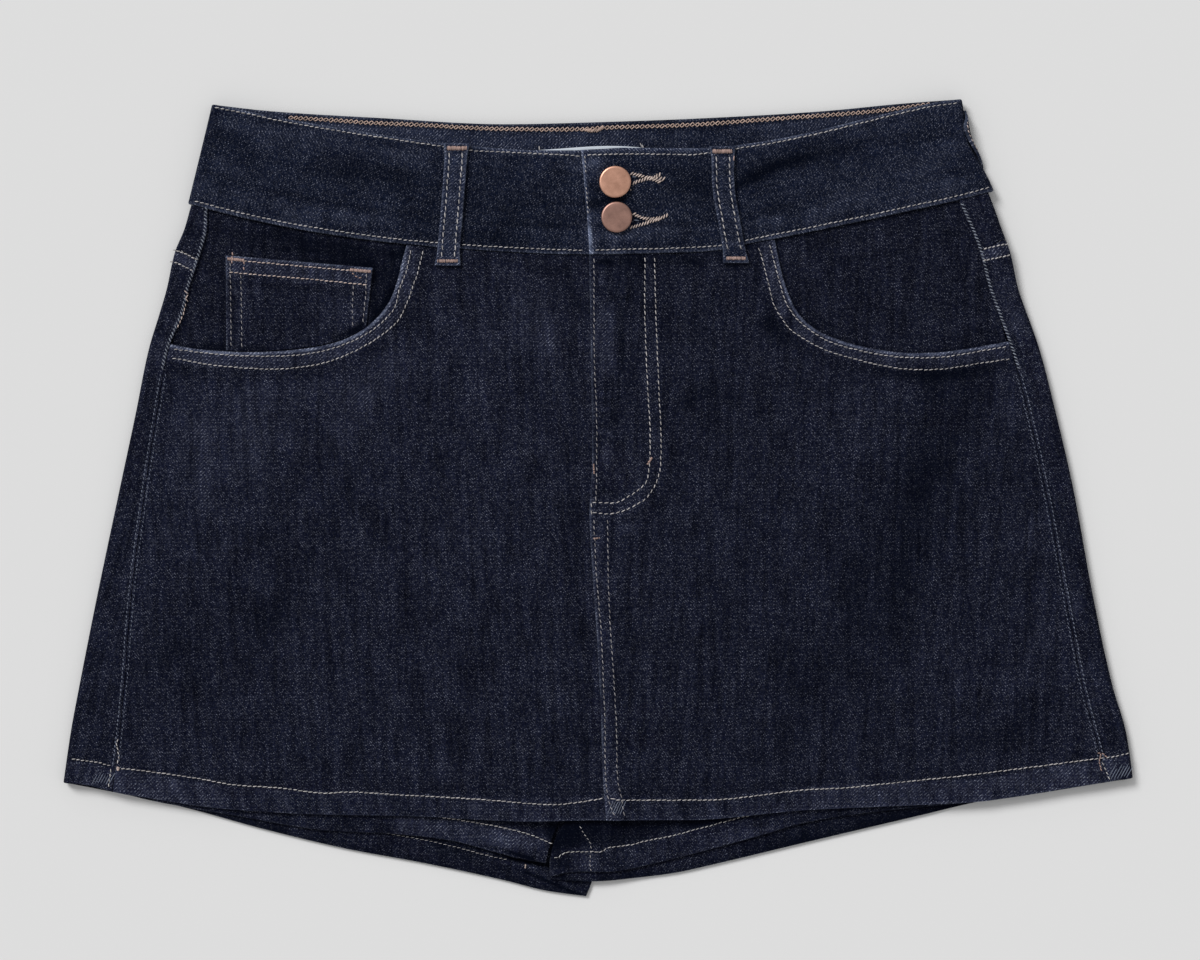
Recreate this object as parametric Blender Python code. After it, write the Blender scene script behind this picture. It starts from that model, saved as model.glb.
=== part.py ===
"""A denim skort laid flat, front side up: a skirt front over built-in shorts.

Sizes and tables are in millimetres and the meshes are built in metres.  +X is
the wearer's left, +Y runs towards the waist, +Z is up, and z = 0 is the surface
that the garment lies on.  The origin is the middle of the underside.

Every piece of cloth is a wall that grows inwards from its outer face.  The
outer faces lie on a few shared height functions, so each layer follows the
one below it and sewn edges meet with a small, even gap.
"""
import math
from collections import namedtuple

import bmesh
import bpy

MM = 0.001

# Cloth
CLOTH = 1.0            # one layer of denim
BAND = 1.8             # the doubled waistband
SEAM_GAP = 0.3         # clearance between sewn pieces
LAYER_GAP = 0.3        # clearance between one layer and the next
HEM_DEPTH = 12.5       # width of the turned-up hems
HEM_STEP = 0.8         # run of the step up on to a hem
HEM_RAISE = 0.6        # what the turned-up cloth adds

# Side folds, where the back comes round to the front
FOLD_REACH = 3.2       # half the fold's width across, seen from above
FOLD_MID = 2.8         # height of the fold's outermost line
FOLD_ARC = math.pi / 2 * math.sqrt((FOLD_REACH ** 2 + FOLD_MID ** 2) / 2)
SIDE_LEVEL = 5.6       # top of the fold
SIDE_RISE = (4.0, 40.0)   # distances from the fold between which the top sinks

# The waistband rests on its back belt loops, so the waist is lifted by them
LOOP_WIDTH = 12.0
LOOP_THICK = 1.5
LOOP_ARCH = 0.4        # how far a loop stands off in its middle
LOOP_INSET = 1.0       # a back loop starts this far below the waistband's edge
LOOP_TAIL = 7.0        # and ends this far past its lower seam
LOOP_SIDE_ARC = 2.0    # the left back loop comes this far round on to the front
LOOP_SIDE_CLEAR = 0.25    # room for the flats of the fold that it comes round
LOOP_STEPS = 8
WAIST_LIFT = LOOP_THICK + LAYER_GAP
WAIST_LIFT_RUN = (88.0, 138.0)

Label = namedtuple("Label", "left right top low")
LABEL = Label(-31.5, 24.6, 186.4, 162.0)
LABEL_THICK = 0.6

# Front opening
FLY_WIDTH = 34.0
FLY_END = -8.0
UNDERLAP = 8.0         # the under front runs this far below the upper one
LAP_RISE = CLOTH + LAYER_GAP
LAP_RUN = 7.0
LAP_EASE = 13.0
LAP_HEM_RUN = (128.0, 152.0)   # the lap rises further on its way down to the turned-up hem
BAND_UNDERLAP = 30.0   # end of the waistband's under end
FACING_LAP = 11.0      # the facing runs this far below the pocket's mouth

# Crotch, where one leg lies over the other
CROTCH_Y = -150.0
LEG_LIFT = CLOTH + HEM_RAISE + LAYER_GAP
LEG_LIFT_RUN_X = (2.0, 34.0)
LEG_LIFT_RUN_Y = (110.0, 150.0)
CORNER_LIFT = 3.2
CORNER_RUN_X = (0.0, 36.0)
CORNER_RUN_Y = (173.0, 190.0)

# Tack buttons: radius and height of the turned outline, from the neck's foot to the middle of the cap
BUTTON_PROFILE = [
    (0, 0), (4.0, 0), (4.0, 0.7), (7.4, 0.8), (8.5, 1.5), (8.3, 2.3), (7.6, 2.6), (6.9, 2.35), (0, 2.35),
]

Side = namedtuple("Side", "y left_fold left_seam right_seam right_fold")
SIDES = [
    Side(165.0, -213.0, -204.0, 188.0, 205.5),
    Side(153.0, -216.5, -206.8, 192.6, 210.0),
    Side(142.0, -219.7, -208.6, 197.5, 213.9),
    Side(131.0, -224.3, -211.0, 201.5, 218.0),
    Side(110.0, -229.2, -218.0, 207.2, 222.9),
    Side(80.0, -238.3, -227.3, 218.2, 233.6),
    Side(45.0, -245.5, -233.9, 228.0, 242.7),
    Side(5.0, -254.0, -240.2, 236.8, 251.9),
    Side(-50.0, -265.6, -247.4, 247.2, 262.0),
    Side(-100.0, -275.5, -251.4, 256.7, 272.8),
    Side(-123.0, -279.8, -253.7, 262.5, 279.6),
    Side(-154.0, -284.3, -257.3, 270.5, 284.3),
]

Edge = namedtuple("Edge", "x y")
BAND_BACK_TOP = [
    Edge(-204.8, 208.6), Edge(-177, 205.4), Edge(-114, 201.4), Edge(-50, 198.2), Edge(0, 199.3),
    Edge(56, 201.4), Edge(119, 205.1), Edge(162, 209.2), Edge(193.5, 211.5),
]
BAND_BACK_LOW = [
    Edge(-217.6, 155.8), Edge(-150, 149.5), Edge(0, 144.7), Edge(140, 153), Edge(209.8, 162.7),
]
BAND_FRONT_TOP = [
    Edge(-204.8, 208.6), Edge(-167, 201.1), Edge(-133, 195.3), Edge(-84, 188.2), Edge(-43, 184.7),
    Edge(0, 183.8), Edge(50, 183.8), Edge(94, 190), Edge(124, 196.6), Edge(154, 204),
    Edge(176, 209), Edge(193.5, 211.5),
]
BAND_FRONT_LOW = [
    Edge(-217.6, 155.8), Edge(-192, 149.2), Edge(-162, 142.8), Edge(-133, 138.1), Edge(-103, 134.4),
    Edge(-72, 131.7), Edge(-8, 128.8), Edge(35, 129.6), Edge(64, 131.2), Edge(79, 134.4),
    Edge(109, 140.2), Edge(139, 146.5), Edge(169, 152.9), Edge(191, 157.7), Edge(209.8, 162.7),
]
YOKE_LOW = [
    Edge(-224, 131.5), Edge(-150, 122), Edge(0, 110), Edge(150, 126), Edge(216, 137),
]
YOKE_WRAP_DROP = 4.0   # the yoke's seam falls this much between the fold and the side seam

# Pocket mouths, from the side seam to the waistband
MOUTH_LEFT = [
    Edge(-227, 81.6), Edge(-216, 79.4), Edge(-204.8, 78.2), Edge(-193, 77.5), Edge(-182, 77.4),
    Edge(-168, 78), Edge(-154, 79.5), Edge(-143, 81.5), Edge(-133.8, 84.5), Edge(-125, 89.2),
    Edge(-118, 95), Edge(-112.5, 101.5), Edge(-109, 108), Edge(-106.2, 116.5), Edge(-104, 125.6),
    Edge(-101.6, 133.9),
]
MOUTH_RIGHT = [
    Edge(217.6, 83), Edge(210, 81.6), Edge(202.7, 80.4), Edge(192, 78.6), Edge(182, 77.3),
    Edge(172, 76.9), Edge(162, 77), Edge(151, 78.2), Edge(140, 80.3), Edge(130, 83),
    Edge(121, 86.4), Edge(112.5, 91.4), Edge(106, 98), Edge(102, 105.5), Edge(97.8, 117),
    Edge(95.2, 128), Edge(93.4, 136.6),
]
COIN = {"left": -197.4, "right_top": -120.6, "right_low": -124.2, "left_y": 127.5, "right_y": 120.8}

CENTRE_FRONT = [
    Edge(-5.0, 128), Edge(-3.4, 19), Edge(-4.8, -8), Edge(-3.2, -40), Edge(-0.8, -75),
    Edge(2.4, -118), Edge(4.5, -171),
]

SKIRT_HEM = [
    Edge(-284.3, -151), Edge(-270, -152.4), Edge(-257, -155.8), Edge(-238, -159), Edge(-210, -163.4),
    Edge(-160, -167.2), Edge(-98, -168.6), Edge(-38, -171.3), Edge(-1, -170.6), Edge(48, -170.6),
    Edge(107, -165.6), Edge(171, -162.6), Edge(203, -160.8), Edge(224, -157.9), Edge(256, -152.6),
    Edge(284.3, -148.4),
]
RIGHT_LEG_BACK_HEM = [
    Edge(-284.3, -151), Edge(-262, -155.3), Edge(-220, -164.3), Edge(-177, -176), Edge(-135, -186),
    Edge(-92, -194), Edge(-50, -203), Edge(-29, -208.3), Edge(-6.6, -211.5),
]
LEFT_LEG_BACK_HEM = [
    Edge(-26.0, -202), Edge(-3, -203.4), Edge(20, -201.6), Edge(41, -199), Edge(61, -194.6),
    Edge(107, -183.6), Edge(171, -168.5), Edge(203, -161), Edge(247, -154.2), Edge(284.3, -148.4),
]
RIGHT_LEG_FRONT_HEM = [
    Edge(-257, -155.5), Edge(-240, -160), Edge(-220, -163.9), Edge(-192, -168.8), Edge(-146, -176.4),
    Edge(-110, -178.3), Edge(-78, -181.9), Edge(-50, -189.2), Edge(-27.8, -193.5),
]
LEFT_LEG_FRONT_HEM = [
    Edge(-26.2, -200.9), Edge(-15, -198.4), Edge(10, -198), Edge(27, -194.6), Edge(54, -187.9),
    Edge(86, -179.1), Edge(107, -173), Edge(139, -167.6), Edge(171, -164), Edge(210, -160.2),
    Edge(270, -150.8),
]
Inner = namedtuple("Inner", "y right_back left_back right_front left_front")
INNER_LEGS = [
    Inner(170.0, -0.15, 0.15, -0.15, 0.15),
    Inner(CROTCH_Y + 4, -0.15, 0.15, -0.15, 0.15),
    Inner(CROTCH_Y - 6, -0.2, -1.5, -6.0, -4.6),
    Inner(-173.0, -1.6, -11.0, -20.8, -18.9),
    Inner(-193.5, -2.6, -22.5, -27.8, -25.8),
    Inner(-203.0, -3.4, -26.0, -28.0, -25.8),
    Inner(-211.5, -6.6, -26.0, -28.0, -25.8),
]

# Height of the cloth's top in the middle of the garment, by place along it
Level = namedtuple("Level", "at z")
FRONT_LEVELS = [Level(-150, 5.2), Level(-95, 4.4), Level(10, 4.3), Level(62, 4.9), Level(170, 4.9)]
SHORTS_LEVELS = [Level(-150, 2.9), Level(-100, 2.3), Level(170, 2.3)]
BAND_UNDER_LEVELS = [Level(-204, 6.0), Level(-170, 5.6), Level(-100, 5.1), Level(-20, 4.8), Level(40, 4.8)]
BAND_OVER_LEVELS = [
    Level(-20, 6.9), Level(31, 6.9), Level(38, 6.5), Level(52, 5.5), Level(100, 5.3), Level(165, 5.6),
    Level(193, 6.0),
]
BAND_FOLD_MID = 3.0
CROTCH_RISE = 1.7
CROTCH_MIDDLE = -8.0
CROTCH_RUN = (16.0, 58.0)
CROTCH_RUN_Y = (95.0, 148.0)

# Broad soft folds of the skirt front
Fold = namedtuple("Fold", "x0 y0 x1 y1 width height")
SOFT_FOLDS = [
    Fold(196, 40, 128, -70, 17, 0.9),
    Fold(236, -30, 190, -110, 13, 0.7),
    Fold(-92, 40, -140, -20, 15, 0.7),
    Fold(-170, -10, -232, -90, 17, 0.8),
    Fold(62, 60, 30, 8, 13, 0.6),
    Fold(-60, -40, -96, -120, 18, 0.5),
    Fold(96, -60, 70, -130, 16, 0.5),
]

# Mesh columns and rows, as shares of the way across and down
LEG_COLUMNS = (0, 0.022, 0.044, 0.066, 0.095, 0.14, 0.2, 0.28, 0.38, 0.5, 0.63, 0.76, 0.89, 1)
FOLD_COLUMNS = (-1, -0.67, -0.33, 0, 0.33, 0.67, 1)
WRAP_COLUMNS = (0.5, 1)
LEG_ROWS = (0, 0.05, 0.1, 0.15, 0.2, 0.26, 0.33, 0.42, 0.53, 0.64, 0.74, 0.79, 0.84, 0.88, 0.92, 0.96, 1)
YOKE_ROWS = (0, 0.25, 0.5, 0.75, 1)
FRONT_ROWS = (0, 0.06, 0.12, 0.19, 0.27, 0.36, 0.47, 0.58, 0.69, 0.79, 0.87, 0.94, 1)
BAND_ROWS = (0, 1 / 3, 2 / 3, 1)
BAND_OVER_COLUMNS = (0.88, 0.76, 0.64, 0.53, 0.43, 0.35, 0.28, 0.235, 0.208, 0.17, 0.08, 0)
TURNED_STEPS = 28


# Colour, roughness and metallic value
DENIM = ((0.012, 0.014, 0.026), 0.9)
SATIN = ((0.72, 0.73, 0.75), 0.6)
COPPER = ((0.45, 0.24, 0.16), 0.38, 1.0)


# ---------------------------------------------------------------- plain maths
def ramp(value, start, end):
    """0 up to start, 1 from end on, and a smooth rise between them."""
    t = min(max((value - start) / (end - start), 0.0), 1.0)
    return t * t * (3 - 2 * t)


def mix(a, b, t):
    """The point or number at share t from a to b."""
    if isinstance(a, tuple):
        return tuple(mix(p, q, t) for p, q in zip(a, b))
    return a + (b - a) * t


def smooth(rows, key, value):
    """A function that runs smoothly through the rows' value column over their key column."""
    pairs = sorted((getattr(row, key), getattr(row, value)) for row in rows)
    at = [pair[0] for pair in pairs]
    height = [pair[1] for pair in pairs]
    steps = [(height[i + 1] - height[i]) / (at[i + 1] - at[i]) for i in range(len(at) - 1)]
    slopes = [steps[0]] + [(a + b) / 2 if a * b > 0 else 0.0 for a, b in zip(steps, steps[1:])]
    slopes.append(steps[-1])

    def follow(position):
        p = min(max(position, at[0]), at[-1])
        i = min(max(sum(1 for a in at if a <= p) - 1, 0), len(steps) - 1)
        run = at[i + 1] - at[i]
        t = (p - at[i]) / run
        start = height[i] * (1 + 2 * t) * (1 - t) ** 2 + run * slopes[i] * t * (1 - t) ** 2
        return start + height[i + 1] * t * t * (3 - 2 * t) + run * slopes[i + 1] * t * t * (t - 1)

    return follow


left_fold = smooth(SIDES, "y", "left_fold")
left_seam = smooth(SIDES, "y", "left_seam")
right_seam = smooth(SIDES, "y", "right_seam")
right_fold = smooth(SIDES, "y", "right_fold")
band_back_top = smooth(BAND_BACK_TOP, "x", "y")
band_back_low = smooth(BAND_BACK_LOW, "x", "y")
band_front_top = smooth(BAND_FRONT_TOP, "x", "y")
band_front_low = smooth(BAND_FRONT_LOW, "x", "y")
yoke_low = smooth(YOKE_LOW, "x", "y")
skirt_hem = smooth(SKIRT_HEM, "x", "y")
centre_front = smooth(CENTRE_FRONT, "y", "x")
front_base = smooth(FRONT_LEVELS, "at", "z")
shorts_base = smooth(SHORTS_LEVELS, "at", "z")
band_under_level = smooth(BAND_UNDER_LEVELS, "at", "z")
band_over_level = smooth(BAND_OVER_LEVELS, "at", "z")
right_back_inner = smooth(INNER_LEGS, "y", "right_back")
left_back_inner = smooth(INNER_LEGS, "y", "left_back")
right_front_inner = smooth(INNER_LEGS, "y", "right_front")
left_front_inner = smooth(INNER_LEGS, "y", "left_front")


# ------------------------------------------------------------ height of the cloth
def waist_lift(y):
    return WAIST_LIFT * ramp(y, *WAIST_LIFT_RUN)


def soft_fold(x, y):
    """Height that the broad folds add."""
    total = 0.0
    for fold in SOFT_FOLDS:
        along = (fold.x1 - fold.x0, fold.y1 - fold.y0)
        length = math.hypot(*along)
        share = ((x - fold.x0) * along[0] + (y - fold.y0) * along[1]) / length ** 2
        off = abs((x - fold.x0) * along[1] - (y - fold.y0) * along[0]) / length
        ends = ramp(share, -0.15, 0.25) * (1 - ramp(share, 0.75, 1.15))
        total += fold.height * ends * (1 - ramp(off, 0, 2 * fold.width))
    return total


def front_level(x, y):
    """Top of the outermost layer: skirt front, and the back where it comes round."""
    inset = min(x - left_fold(y), right_fold(y) - x)
    sides = 1 - ramp(inset, *SIDE_RISE)
    crotch = (1 - ramp(abs(x - CROTCH_MIDDLE), *CROTCH_RUN)) * ramp(-y, *CROTCH_RUN_Y)
    base = mix(front_base(y), SIDE_LEVEL, sides)
    return base + CROTCH_RISE * crotch + soft_fold(x, y)


def leg_lift(x, y):
    """How far the wearer's left leg rises where it lies on the right leg's back."""
    across = 1 - ramp(x - right_back_inner(y), *LEG_LIFT_RUN_X)
    return LEG_LIFT * across * ramp(-y, *LEG_LIFT_RUN_Y)


def corner_lift(x, y):
    """How far the right leg's front rises at its inner corner, on top of the left leg."""
    across = 1 - ramp(right_front_inner(y) - x, *CORNER_RUN_X)
    return CORNER_LIFT * across * ramp(-y, *CORNER_RUN_Y)


def fly_rise(x, y):
    """How far the upper front rises over the under front and the fly's facing."""
    reach = LAP_RUN + (FLY_WIDTH - LAP_RUN) * ramp(y, FLY_END - 8, FLY_END + 8)
    rise = LAP_RISE + HEM_RAISE * ramp(-y, *LAP_HEM_RUN)
    return rise * (1 - ramp(x - centre_front(y), reach, reach + LAP_EASE))


def round_fold(side, fold_x, arc, top, middle=FOLD_MID):
    """x and z on a fold's outer face, arc mm round from its outermost line; over 0 is upwards."""
    turn = math.pi / 2 * min(abs(arc) / FOLD_ARC, 1.0)
    inset = FOLD_REACH * (1 - math.cos(turn)) + max(abs(arc) - FOLD_ARC, 0.0)
    rise = top - middle if arc > 0 else -middle
    return fold_x - side * inset, middle + rise * math.sin(turn)


# ------------------------------------------------------------------- building
def material(name, colour, roughness, metallic=0.0):
    made = bpy.data.materials.new(name)
    made.use_nodes = True
    shader = made.node_tree.nodes["Principled BSDF"]
    shader.inputs["Base Color"].default_value = (*colour, 1.0)
    shader.inputs["Roughness"].default_value = roughness
    shader.inputs["Metallic"].default_value = metallic
    made.diffuse_color = (*colour, 1.0)
    return made


def add_object(name, shape, look):
    mesh = bpy.data.meshes.new(name)
    shape.to_mesh(mesh)
    shape.free()
    mesh.materials.append(material(name, *look))
    made = bpy.data.objects.new(name, mesh)
    bpy.context.scene.collection.objects.link(made)
    return made


def wall(name, rows, thickness, faces_up, look):
    """A closed wall from rows of outer points; thickness has a number for each row.

    faces_up says whether the outer side of the first face looks up or down."""
    shape = bmesh.new()
    grid = [[shape.verts.new([c * MM for c in point]) for point in row] for row in rows]
    for upper, lower in zip(grid, grid[1:]):
        for i in range(len(upper) - 1):
            shape.faces.new((upper[i], lower[i], lower[i + 1], upper[i + 1]))
    shape.normal_update()
    shape.faces.ensure_lookup_table()
    if (shape.faces[0].normal.z > 0) != faces_up:
        bmesh.ops.reverse_faces(shape, faces=shape.faces)
    made = add_object(name, shape, look)
    shares = made.vertex_groups.new(name="thickness")
    width = len(rows[0])
    for number, value in enumerate(thickness):
        row_points = list(range(number * width, (number + 1) * width))
        shares.add(row_points, value / max(thickness), "REPLACE")
    solid = made.modifiers.new("cloth", "SOLIDIFY")
    solid.thickness = max(thickness) * MM
    solid.offset = -1.0
    solid.vertex_group = shares.name
    solid.thickness_vertex_group = 0.0
    return made


def settle(curve, x_at, start):
    """The height at which a column, whose x depends on the height, meets a curve."""
    y = start
    for _ in range(5):
        y = curve(x_at(y))
    return y


def hem_rows(points_at, shares):
    """Rows down a hemmed piece.  points_at(share, depth) gives a row: share of the way down to the
    turned-up hem, or depth above the hem's edge.  Returns (points, extra height) for each row."""
    rows = [(points_at(share, None), 0.0) for share in shares]
    return rows + [(points_at(None, depth), HEM_RAISE) for depth in (HEM_DEPTH - HEM_STEP, 0.0)]


def patch(top, left, right, low, shares):
    """Rows of (x, y) from a top edge down to a hem curve, between two side curves x(y)."""
    span = top[-1][0] - top[0][0]
    across = [(x - top[0][0]) / span for x, _ in top]

    def low_row(depth):
        start = left(settle(low, left, -160.0) + depth)
        end = right(settle(low, right, -160.0) + depth)
        places = [mix(start, end, u) for u in across]
        return [(x, low(x) + depth) for x in places]

    base = low_row(HEM_DEPTH)

    def points_at(share, depth):
        if share is None:
            return low_row(depth)
        y_left, y_right = mix(top[0][1], base[0][1], share), mix(top[-1][1], base[-1][1], share)
        left_bow = left(y_left) - mix(top[0][0], base[0][0], share)
        right_bow = right(y_right) - mix(top[-1][0], base[-1][0], share)
        return [
            (mix(t[0], b[0], share) + mix(left_bow, right_bow, u), mix(t[1], b[1], share))
            for u, t, b in zip(across, top, base)
        ]

    return hem_rows(points_at, shares)


def laid(rows, level):
    """Rows of (x, y) with their extra heights, set on a height function and the lifted waist."""
    return [[(x, y, level(x, y) + extra + waist_lift(y)) for x, y in row] for row, extra in rows]


def thicknesses(rows):
    return [CLOTH + extra for _, extra in rows]


# ------------------------------------------------- pieces that come round the sides
def wrapped(name, side, inner, high, low, shares, hemmed, lift, look):
    """A back piece: flat on the surface, round its side fold and up to the side seam.

    high and low give its edges as y(x, wrap): wrap is -1 below, and 0 at the fold to 1 at the seam."""
    fold, seam = (left_fold, left_seam) if side < 0 else (right_fold, right_seam)
    columns = [(-1, "below", share) for share in LEG_COLUMNS[:-1]]
    columns += [(-1 if share <= 0 else 0, "fold", share) for share in FOLD_COLUMNS]
    columns += [(share, "above", share) for share in WRAP_COLUMNS]

    def point(column, y, extra=0.0):
        _, part, share = column
        edge = fold(y)
        if part == "below":
            x = mix(inner(y), edge - side * FOLD_REACH, share)
            return x, y, lift(x, y)
        arc = share * FOLD_ARC
        if part == "above":
            arc = FOLD_ARC + share * (abs(edge - seam(y)) - FOLD_REACH - SEAM_GAP / 2)
        flat_x = edge - side * (FOLD_REACH + max(arc - FOLD_ARC, 0.0))
        x, z = round_fold(side, edge, arc, front_level(flat_x, y) + extra)
        return x, y, z

    def end(curve, column, start):
        return settle(lambda x: curve(x, column[0]), lambda y: point(column, y)[0], start)

    ends = [(end(high, column, 140.0), end(low, column, -160.0)) for column in columns]
    margin = HEM_DEPTH if hemmed else 0.0
    rows = [[point(c, mix(a, b + margin, share)) for c, (a, b) in zip(columns, ends)] for share in shares]
    thickness = [CLOTH] * len(rows)
    if hemmed:
        for depth in (HEM_DEPTH - HEM_STEP, 0.0):
            rows.append([point(c, b + depth, HEM_RAISE) for c, (_, b) in zip(columns, ends)])
            thickness.append(CLOTH + HEM_RAISE)
    rows = [[(x, y, z + waist_lift(y)) for x, y, z in row] for row in rows]
    return wall(name, rows, thickness, False, look)


def no_lift(x, y):
    return 0.0


def waist_edge(x, wrap):
    return (band_back_low if wrap < 0 else band_front_low)(x) - SEAM_GAP


def yoke_edge(x, wrap):
    return yoke_low(x) - YOKE_WRAP_DROP * max(wrap, 0)


def leg_top(x, wrap):
    return yoke_edge(x, wrap) - SEAM_GAP


def leg_edge(back_hem):
    curve = smooth(back_hem, "x", "y")
    return lambda x, wrap: (curve if wrap < 0 else skirt_hem)(x)


def backs():
    for name, side, inner, hem, lift in (
        ("right", -1, right_back_inner, RIGHT_LEG_BACK_HEM, no_lift),
        ("left", 1, left_back_inner, LEFT_LEG_BACK_HEM, leg_lift),
    ):
        wrapped(f"yoke_{name}", side, inner, waist_edge, yoke_edge, YOKE_ROWS, False, no_lift, DENIM)
        wrapped(f"back_{name}", side, inner, leg_top, leg_edge(hem), LEG_ROWS, True, lift, DENIM)


# ------------------------------------------------------------------ front layers
def waist_points(places):
    return [(x, band_front_low(x) - SEAM_GAP) for x in places]


def shorts_fronts():
    """The shorts' fronts, which hang from the waist below the skirt front and end in the legs."""
    for name, side, seam, inner, hem in (
        ("right", -1, left_seam, right_front_inner, RIGHT_LEG_FRONT_HEM),
        ("left", 1, right_seam, left_front_inner, LEFT_LEG_FRONT_HEM),
    ):
        low = smooth(hem, "x", "y")
        side_edge = lambda y: seam(y) - side * SEAM_GAP
        top = waist_points([mix(inner(130.0), side_edge(150.0), share) for share in LEG_COLUMNS])
        rows = patch(top, inner, side_edge, low, LEG_ROWS)

        def level(x, y):
            lift = corner_lift(x, y) if side < 0 else leg_lift(x, y)
            return shorts_base(y) + lift

        wall(f"shorts_front_{name}", laid(rows, level), thicknesses(rows), True, DENIM)


def skirt_fronts():
    """The skirt's two fronts: pocket mouth and waist above, hem below, lapped at the centre."""
    left_edge = lambda y: left_seam(y) + SEAM_GAP / 2
    right_edge = lambda y: right_seam(y) - SEAM_GAP / 2
    lap_edge = lambda y: centre_front(y) + UNDERLAP
    mouth = [(left_edge(MOUTH_LEFT[0].y), MOUTH_LEFT[0].y)]
    mouth += [tuple(point) for point in MOUTH_LEFT[1:]]
    waist = waist_points((-84, -64, -44, -24, -8, 3))
    rows = patch(mouth + waist, left_edge, lap_edge, skirt_hem, FRONT_ROWS)
    wall("front_right", laid(rows, front_level), thicknesses(rows), True, DENIM)

    mouth = [tuple(point) for point in reversed(MOUTH_RIGHT[1:])]
    mouth.append((right_edge(MOUTH_RIGHT[0].y), MOUTH_RIGHT[0].y))
    waist = waist_points((-5, 2, 9, 16, 29, 38, 45, 54, 69, 81))
    rows = patch(waist + mouth, centre_front, right_edge, skirt_hem, FRONT_ROWS)
    level = lambda x, y: front_level(x, y) + fly_rise(x, y)
    wall("front_left", laid(rows, level), thicknesses(rows), True, DENIM)


def facing_level(x, y):
    return front_level(x, y) - CLOTH - LAYER_GAP


def facings():
    """The cloth that shows in each pocket's mouth, and runs on below the front's edge."""
    for name, side, mouth, seam in (
        ("right", -1, MOUTH_LEFT, left_seam), ("left", 1, MOUTH_RIGHT, right_seam),
    ):
        low = []
        for before, here, after in zip(mouth[:1] + mouth, mouth, mouth[1:] + mouth[-1:]):
            run = (after.x - before.x, after.y - before.y)
            length = math.hypot(*run)
            low.append((here.x - side * run[1] / length * FACING_LAP,
                        here.y + side * run[0] / length * FACING_LAP))
        corner = seam(150.0) + side * SEAM_GAP
        count = len(low) - 1
        high = waist_points([mix(corner, low[-1][0], i / count) for i in range(count + 1)])
        rows = [([mix(a, b, share) for a, b in zip(high, low)], 0.0) for share in (0, 0.25, 0.5, 0.75, 1)]
        wall(f"pocket_facing_{name}", laid(rows, facing_level), thicknesses(rows), True, DENIM)


def coin_pocket():
    mouth = smooth(MOUTH_LEFT, "x", "y")
    shares = [i / 6 for i in range(7)]
    left, right = (COIN["left"], COIN["left_y"]), (COIN["right_top"], COIN["right_y"])
    high = [mix(left, right, u) for u in shares]
    places = [mix(COIN["left"], COIN["right_low"], u) for u in shares]
    low = [(x, mouth(x) + 2 * SEAM_GAP) for x in places]
    rows = [([mix(a, b, v) for a, b in zip(high, low)], 0.0) for v in (0, 1 / 3, 2 / 3, 1)]
    wall("coin_pocket", laid(rows, front_level), thicknesses(rows), True, DENIM)


# ---------------------------------------------------------- waistband and what is on it
def band_edges(under, x, share):
    """y on the waistband's front or back, share of the way down it."""
    if under:
        return mix(band_back_top(x), band_back_low(x), share)
    return mix(band_front_top(x), band_front_low(x), share)


def band_columns():
    """The strip's columns from its under end, round the back, to its over end.

    Each is (part, share): the share is of the way from the centre to the fold, or across the back."""
    columns = [("under_end", i / 14) for i in range(14)]
    columns += [("left_fold", share) for share in reversed(FOLD_COLUMNS)]
    columns += [("back", i / 18) for i in range(1, 18)]
    columns += [("right_fold", share) for share in FOLD_COLUMNS]
    return columns + [("over_end", share) for share in BAND_OVER_COLUMNS]


def band_point(column, down):
    """A point on the waistband's outer face: a column of the strip, and the share of the way down it."""
    part, share = column
    left_edge = mix(BAND_BACK_TOP[0].x, BAND_BACK_LOW[0].x, down)
    right_edge = mix(BAND_BACK_TOP[-1].x, BAND_BACK_LOW[-1].x, down)
    left_flat, right_flat = left_edge + FOLD_REACH, right_edge - FOLD_REACH
    if part == "under_end":
        x = mix(BAND_UNDERLAP, left_flat, share)
        z = band_under_level(x)
    elif part == "over_end":
        x = mix(centre_front(128), right_flat, share)
        z = band_over_level(x)
    elif part == "back":
        x = mix(left_flat, right_flat, share)
        z = 0.0
    else:
        side, edge = (-1, left_edge) if part == "left_fold" else (1, right_edge)
        x, z = round_fold(side, edge, share * FOLD_ARC, 2 * BAND_FOLD_MID, BAND_FOLD_MID)
    below = part == "back" or (part.endswith("fold") and share <= 0)
    y = band_edges(below, x, down)
    return x, y, z + waist_lift(y)


def waistband():
    """One strip that runs all round, its over end lying on its under end at the centre front."""
    columns = band_columns()
    rows = [[band_point(column, down) for column in columns] for down in BAND_ROWS]
    wall("waistband", rows, [BAND] * len(rows), True, DENIM)


def band_top(x, y, over):
    """Height of the waistband's front, or of the skirt front below it."""
    level = band_over_level(x) if over else band_under_level(x)
    if y < band_front_low(x):
        level = max(level, front_level(x, y) + (fly_rise(x, y) if over else 0.0))
    return level + waist_lift(y)


def front_loop(name, top, low, over):
    """A belt loop on the front, from (x, y) at the waistband's top to below its lower seam."""
    rows = []
    for i in range(LOOP_STEPS + 1):
        down = i / LOOP_STEPS
        x, y = mix(top, low, down)
        z = max(band_top(x, y, over), mix(band_top(*top, over), band_top(*low, over), down))
        z += LAYER_GAP + LOOP_THICK + LOOP_ARCH * math.sin(math.pi * down)
        rows.append([(x + LOOP_WIDTH * (share - 0.5), y, z) for share in (0, 1 / 3, 2 / 3, 1)])
    wall(name, rows, [LOOP_THICK] * len(rows), True, DENIM)


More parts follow.
